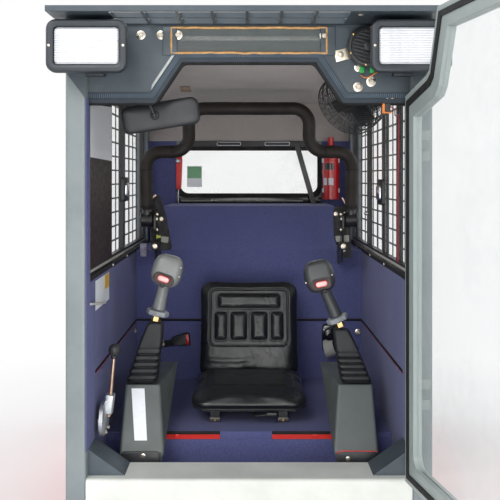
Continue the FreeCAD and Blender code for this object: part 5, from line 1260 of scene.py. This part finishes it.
def belt():
    """The seat belt: a buckle on its stalk at the left, the reel with its webbing at the right."""
    tilt = turned(-8)
    middle = Vector((-0.2870, 0.2620, 0.5120))

    def place(across, up, height):
        return middle + tilt @ Vector((across, -height, up))

    shape = curved_outline([(-0.040, -0.016), (0.036, -0.029), (0.038, 0.029), (-0.040, 0.017)], 0.2, 4)
    make("belt_buckle", "plastic", ("prism", shape, place, 0.024, 0.004), smooth=50, replaces=["seat_belt"])
    shape = curved_outline([(0.019, -0.022), (0.032, -0.024), (0.0335, 0.024), (0.021, 0.022)], 0.2, 4)
    make("belt_release", "button_rim", ("prism", shape, place, 0.0262, 0.0012), smooth=50)
    make("belt_stalk", "webbing", ("box", (-0.376, 0.2545, 0.482), (-0.318, 0.2600, 0.509), 0.002, tilt))
    at = Vector((0.341, 0.264, 0.521))
    make("belt_reel", "gloss_black",
         ("prism", curved_outline(oblong((-0.031, -0.058), (0.031, 0.058)), 0.22, 4),
          lambda across, up, height: at + Vector((across, -height, up)), 0.030, 0.004),
         ("lathe", [(0.027, 0.028), (0.027, 0.038), (0.022, 0.0435), (0.008, 0.0445), (0.006, 0.040)],
          at + Vector((0, 0, 0.018)), FORWARD, 36), smooth=50)
    line = smooth_line([(0.333, 0.236, 0.520), (0.331, 0.216, 0.500), (0.336, 0.206, 0.478),
                        (0.345, 0.214, 0.455), (0.349, 0.236, 0.440)], 6)
    make("belt_strap", "pale_webbing", ("ribbon", line, (0.9, 0, 0.35), 0.021, 0.0022), smooth=60)
    make("bulkhead_bolts", "bolt", ("bolt", spot(163, 344, 0.2585), FORWARD, 0.0095),
         ("bolt", (-0.480, 0.219, 0.556), (1, 0, 0), 0.0085),
         ("bolt", spot(358, 332, 0.2635), FORWARD, 0.0085))


def bar_fittings():
    """The plates behind the lap bar's pivots, with their bolts, rods, stop and clips."""
    y = 0.1515
    front = y - 0.0055
    left = [(152, 196), (160, 195), (166, 215), (172, 246), (171, 250), (152, 250), (150, 236)]
    right = [(333, 210), (337, 206), (350, 206), (350, 236), (352, 258), (344, 258), (334, 240)]
    make("bar_pivot_plates", "flat_black",
         *[("prism", curved_outline(seen(pixels, y), 0.18), facing(y), 0.0055) for pixels in (left, right)],
         *[("rod", (side * 0.380, 0.118, 0.925), (side * 0.380, 0.070, 0.925), 0.0165, 24)
           for side in SIDES], smooth=40)
    bolts = []
    for side in SIDES:
        bolts += [("bolt", (side * 0.376, along, up), (-side, 0, 0), 0.0062)
                  for along, up in ((0.098, 1.034), (0.118, 1.052), (0.112, 0.990))]
        bolts.append(("bolt", (side * 0.380, 0.070, 0.925), FORWARD, 0.0065))
    bolts += [("bolt", spot(px, py, front), FORWARD, 0.0058)
              for px, py in ((336, 214), (345, 214), (161, 219), (343.5, 250))]
    make("bar_pivot_bolts", "bolt", *bolts)
    make("bar_spring_rods", "copper",
         *[("rod", spot(*start, 0.1455), spot(*stop, 0.1455), 0.0036, 12)
           for start, stop in (((156, 195), (148, 203)), ((342, 198), (347, 207)))], smooth=60)
    make("bar_zinc_tabs", "dull_zinc",
         *[("prism", curved_outline(seen(pixels, front), 0.15), facing(front), 0.003)
           for pixels in ([(161, 236), (169, 237), (168, 243), (161, 242)],
                          [(335, 236), (349, 235), (349, 242), (336, 242)])])
    make("grease_fitting", "fitting",
         ("lathe", [(0.0085, 0.0), (0.0085, 0.006), (0.0055, 0.008), (0.0055, 0.016), (0.0030, 0.018)],
          (-0.376, 0.100, 0.962), (1, 0, 0), 20), smooth=40)
    make("wire_clip", "clip", ("box", (-0.462, 0.238, 0.866), (-0.434, 0.2635, 0.922), 0.004),
         ("box", (-0.457, 0.230, 0.880), (-0.439, 0.240, 0.908), 0.003), smooth=50)


def window_fittings():
    """Side windows: sill rails with their tracks and screws, latches, and blank plates."""
    rail_pixels = {-1: (113, 127), 1: (357, 370, 384)}
    wall = 0.4795
    make("window_sill_rails", "flat_black",
         *[("side_box", side, (wall, 0.5038), (-0.722, 0.700), (0.8866, 0.9010), 0.0015) for side in SIDES])
    make("window_tracks", "track",
         *[("side_box", side, (0.4975, 0.5038), (-0.700, 0.690), (0.9008, 0.9085), 0.001) for side in SIDES])
    make("window_rail_screws", "bolt",
         *[("screw", (side * wall, wall * PIXELS / abs(px - CENTRE[0]) + CAMERA_Y, 0.894), (-side, 0, 0),
            0.0055) for side in SIDES for px in rail_pixels[side]])
    latches, levers = [], []
    for side, along, up in ((-1, 0.056, 1.155), (1, -0.137, 1.147)):
        shape = curved_outline(oblong((along - 0.056, up - 0.048), (along + 0.056, up + 0.048)), 0.10, 4)
        latches.append(("prism", shape, on_side(side, 0.504), 0.014, 0.003))
        inner = curved_outline(oblong((along - 0.036, up - 0.030), (along + 0.036, up + 0.026)), 0.2, 4)
        levers.append(("prism", inner, on_side(side, 0.4905), 0.007, 0.002))
    levers.append(("lathe", [(0.009, 0.0), (0.009, 0.010), (0.006, 0.0125)], (0.504, 0.258, 1.050),
                   (-1, 0, 0), 20))
    make("window_latches", "plastic", *latches, smooth=50)
    make("window_latch_levers", "nickel", *levers, smooth=50)
    make("window_blank_panel", "blank",
         ("prism", curved_outline(oblong((-0.722, 0.909), (-0.224, 1.490)), 0.05, 5),
          on_side(-1, 0.504), 0.003))
    make("blank_labels", "bright_white",
         ("prism", [(-0.622, 1.266), (-0.232, 1.262), (-0.232, 1.458), (-0.622, 1.434)], on_side(-1, 0.501),
          0.0008, 0.0002),
         ("prism", oblong((-0.684, 0.785), (-0.407, 0.878)), on_side(-1, 0.480), 0.0008, 0.0002))
    make("blank_label_corner", "yellow",
         ("prism", oblong((-0.494, 0.830), (-0.409, 0.876)), on_side(-1, 0.4793), 0.0006, 0.0002))
    hook = rounded_path([(-0.4800, -0.508, 0.789), (-0.4735, -0.510, 0.789), (-0.4725, -0.748, 0.8215),
                         (-0.4780, -0.752, 0.822)], 0.004, 5)
    make("side_hook", "track", ("tube", hook, 0.0038), smooth=60)
    wires = []
    for side in SIDES:
        for i in range(6):
            x, y = side * 0.543, -0.606 + 0.238 * i
            wires.append(("rod", (x, y, 0.895), (x, y, 1.511), 0.0024, 8))
    make("guard_wires", "black", *wires, smooth=60)


def rear_fittings():
    """Round the rear window: blank sign, red hammer, light slots, a lighter strip painted as the sill's
    highlight, and bottle clips.
    """
    make("blank_sign", "white",
         ("prism", oblong((-0.305, 1.156), (-0.231, 1.259)), facing(0.7852), 0.0012, 0.0003))
    make("blank_sign_field", "green",
         ("prism", oblong((-0.302, 1.199), (-0.234, 1.256)), facing(0.7841), 0.0006, 0.0002))
    shape = [(176, 153), (181.5, 151), (182.5, 160), (181.5, 187), (180, 189.5), (176.5, 189.5), (176, 175)]
    make("rescue_hammer", "red_strip",
         ("prism", curved_outline(seen(shape, 0.762), 0.2, 4), facing(0.771), 0.013, 0.003),
         slot="bottle_red", smooth=50)
    make("hammer_knob", "cast",
         ("lathe", [(0.012, 0.0), (0.012, 0.005), (0.008, 0.009), (0.003, 0.010)], spot(178, 161, 0.758),
          FORWARD, 24),
         ("rod", (-0.345, 0.764, 1.150), (-0.345, 0.767, 1.079), 0.0032, 12), smooth=50)
    slots = []
    for low_x, high_x in ((-0.1565, -0.0416), (0.0783, 0.198)):
        middle = Vector(((low_x + high_x) / 2, 0.7638, 1.3675))
        loop = [middle + Vector((u, 0, v)) for u, v in rounded((high_x - low_x) / 2, 0.0078, 0.003, 3)]
        slots.append(("tube", loop, 0.0014, 8, True))
    make("rear_light_slots", "white", *slots, slot="lens", smooth=60)
    make("rear_sill_plate", "gloss_black",
         ("box", (-0.355, 0.7764, 1.0775), (0.355, 0.7802, 1.1045), 0.0008), slot="black_steel")
    # A zinc strip lighter than the plate behind it: a painted highlight along the sill.
    make("rear_sill_highlight_strip", "dull_zinc", ("box", (-0.333, 0.7720, 1.0840), (0.265, 0.7766, 1.0930), 0.0020))
    make("rear_sill_screws", "bolt",
         *[("screw", spot(px, 200.3, 0.7702), FORWARD, 0.0045) for px in (212, 216)])
    bottle, radius = Vector((0.397, 0.735, 0)), 0.0402
    make("bottle_clips", "white",
         *[("wrapped", bottle, radius, turn, (low, low + 0.020), 0.0035)
           for low in (1.274, 1.130) for turn in ((-100, -62), (62, 100))], slot="black_plastic")
    make("bottle_blank_patches", "white",
         *[("wrapped", bottle, radius, turn, (1.166, 1.200)) for turn in ((-62, -33), (-21, 12))],
         slot="bottle_red")
    make("bottle_dark_patch", "gloss_black", ("wrapped", bottle, radius, (-50, 16), (1.240, 1.271)),
         slot="bottle_red")
    turns, steps = 7, 14
    coil = []
    for k in range(turns * steps):
        angle = 2 * math.pi * k / steps
        coil.append((-0.272 + 0.0062 * k / steps, 0.008 + 0.011 * math.cos(angle),
                     1.5515 + 0.011 * math.sin(angle)))
    make("headliner_coil", "tan", ("tube", coil, 0.0017, 6), smooth=60)


def outer_fittings():
    """Outside: header cheeks, roof and guard bolts, rear window rubber and weld beads."""
    cheeks, bolts, beads = [], [], []
    for side in SIDES:
        corners = [Vector((side * 0.5395, -0.800, 1.512)), Vector((side * 0.4805, -0.800, 1.434)),
                   Vector((side * 0.4805, -0.800, 1.512))]
        cheeks.append(("slab", corners[::-side], FORWARD, 0.0012))
        places = [((0.540, y, 1.6720), (0, 0, 1), 0.0095) for y in (-0.690, -0.200, 0.290, 0.730)]
        places += [((0.5460, y, z), (side, 0, 0), 0.0085) for y in (-0.725, -0.249, 0.227, 0.703)
                   for z in (0.895, 1.511)]
        places += [((0.496, y, 0.556), (side, 0, 0), 0.0095) for y in (-0.56, -0.12, 0.32, 0.68)]
        places += [((0.505, 0.800, z), (0, 1, 0), 0.0090) for z in (0.68, 1.00, 1.32, 1.60)]
        places += [((0.470, 0.800, z), (0, 1, 0), 0.0095) for z in (0.12, 0.46)]
        bolts += [("bolt", (side * x, y, z), normal, radius) for (x, y, z), normal, radius in places]
        beads += [("tube", [(side * x, 0.7995, low), (side * x, 0.7995, high)], 0.0028, 8)
                  for x, low, high in ((0.5395, 0.604, 1.656), (0.4955, 0.046, 0.588))]
    make("header_cheeks", "header", *cheeks)
    make("outer_bolts", "bolt", *bolts)
    make("corner_welds", "sealant_grey", *beads, smooth=60)
    loop = [Vector((u, 0.8015, v + 1.2295)) for u, v in rounded(0.351, 0.1205, 0.044, 8)]
    make("rear_window_outer_rubber", "rubber", ("tube", loop, 0.0062, 10, True), smooth=60)


dress_nodes()
for build in (header_edging, header_fixings, slot_window, lamps, horn, mirror, fan, seat_back, seat_cushion,
              seat_trim, lap_bar):
    build()
for each_side in SIDES:
    lever(each_side)
    boot(each_side)
for build in (pod_trim, brake, linings, belt, bar_fittings, window_fittings, rear_fittings, outer_fittings):
    build()


# Stage

def backdrop_seen(tree):
    """One where the eye, a reflection or glass looks at the backdrop."""
    path = tree.nodes.new("ShaderNodeLightPath")
    out = path.outputs["Is Camera Ray"]
    for name in ("Is Glossy Ray", "Is Transmission Ray"):
        most = tree.nodes.new("ShaderNodeMath")
        most.operation = "MAXIMUM"
        tree.links.new(out, most.inputs[0])
        tree.links.new(path.outputs[name], most.inputs[1])
        out = most.outputs[0]
    return out


def pale_floor():
    """A matt floor round the cab that turns into the white backdrop further out."""
    made = Finish("floor_pale", 0.8)
    base = (0.86, 0.86, 0.855, 1)
    made.colour(made.mixed(made.ranged(made.noise(0.8), 0.3, 0.7), shade(base, 0.99), shade(base, 1.01)))
    glow = made.node("Emission", Color=(1, 1, 1, 1))
    length = made.node("VectorMath", operation="LENGTH")
    made.link(made.coords, length.inputs[0])
    share = made.node("Math", operation="MULTIPLY")
    made.link(made.ranged(length.outputs["Value"], 1.1, 2.6), share.inputs[0])
    made.link(backdrop_seen(made.tree), share.inputs[1])
    mix = made.node("MixShader")
    for number, out in enumerate((share.outputs[0], made.shader.outputs["BSDF"], glow.outputs["Emission"])):
        made.link(out, mix.inputs[number])
    made.link(mix.outputs["Shader"], made.tree.nodes["Material Output"].inputs["Surface"])
    return made.mat


def studio():
    """The world: soft light, and plain white where it is looked at."""
    world = bpy.data.worlds.new("studio")
    bpy.context.scene.world = world
    world.use_nodes = True
    tree = world.node_tree
    back = tree.nodes["Background"]
    back.inputs["Color"].default_value = (0.93, 0.95, 1.0, 1)
    back.inputs["Strength"].default_value = 0.42
    white = tree.nodes.new("ShaderNodeBackground")
    white.inputs["Color"].default_value = (1, 1, 1, 1)
    mix = tree.nodes.new("ShaderNodeMixShader")
    for number, out in enumerate((backdrop_seen(tree), back.outputs[0], white.outputs[0])):
        tree.links.new(out, mix.inputs[number])
    tree.links.new(mix.outputs["Shader"], tree.nodes["World Output"].inputs["Surface"])


# Each lamp's name, place, aim, size and power.
LAMPS = (("key", (-1.6, -4.2, 3.6), (0, 0, 0.8), 2.6, 94), ("fill", (2.6, -4.0, 2.2), (0, 0, 0.9), 2.4, 43),
         ("left", (-4.0, 0.6, 3.0), (0, 0, 0.9), 2.2, 70), ("right", (4.0, 0.8, 2.6), (0, 0, 0.9), 2.2, 52),
         ("back", (0.5, 4.5, 3.4), (0, 0, 1.0), 2.6, 80), ("low", (0, -3.0, 1.0), (0, 0, 0.9), 1.6, 14),
         ("up", (0, -2.5, 0.35), (0, 0.1, 1.56), 1.2, 10))


def stage():
    """Pale floor and backdrop, soft lamps and the camera."""
    size = 14.0
    mesh = bpy.data.meshes.new("floor")
    mesh.from_pydata([(x, y, 0) for x, y in oblong((-size, -size), (size, size))], [], [(0, 1, 2, 3)])
    mesh.materials.append(pale_floor())
    floor = placed(bpy.data.objects.new("floor", mesh))
    floor.location.z = CAD_BOX[0][2] - 0.0005
    studio()
    for name, at, aim, size, power in LAMPS:
        data = bpy.data.lights.new(name, "AREA")
        data.shape = "DISK"
        data.size = size
        data.energy = power
        lamp = placed(bpy.data.objects.new(name, data))
        lamp.location = at
        lamp.rotation_euler = (Vector(aim) - Vector(at)).to_track_quat("-Z", "Y").to_euler()
    camera = bpy.data.cameras.new("camera")
    camera.sensor_width = SENSOR
    camera.lens = SENSOR * PIXELS / PICTURE
    camera.shift_x = (PICTURE / 2 - CENTRE[0]) / PICTURE
    camera.shift_y = -(PICTURE / 2 - CENTRE[1]) / PICTURE
    camera.clip_start = 0.05
    view = placed(bpy.data.objects.new("camera", camera))
    view.location = (0.0, CAMERA_Y, CAMERA_Z)
    view.rotation_euler = (math.radians(90), 0, 0)
    bpy.context.scene.camera = view
    bpy.context.scene.view_settings.view_transform = "Standard"


stage()
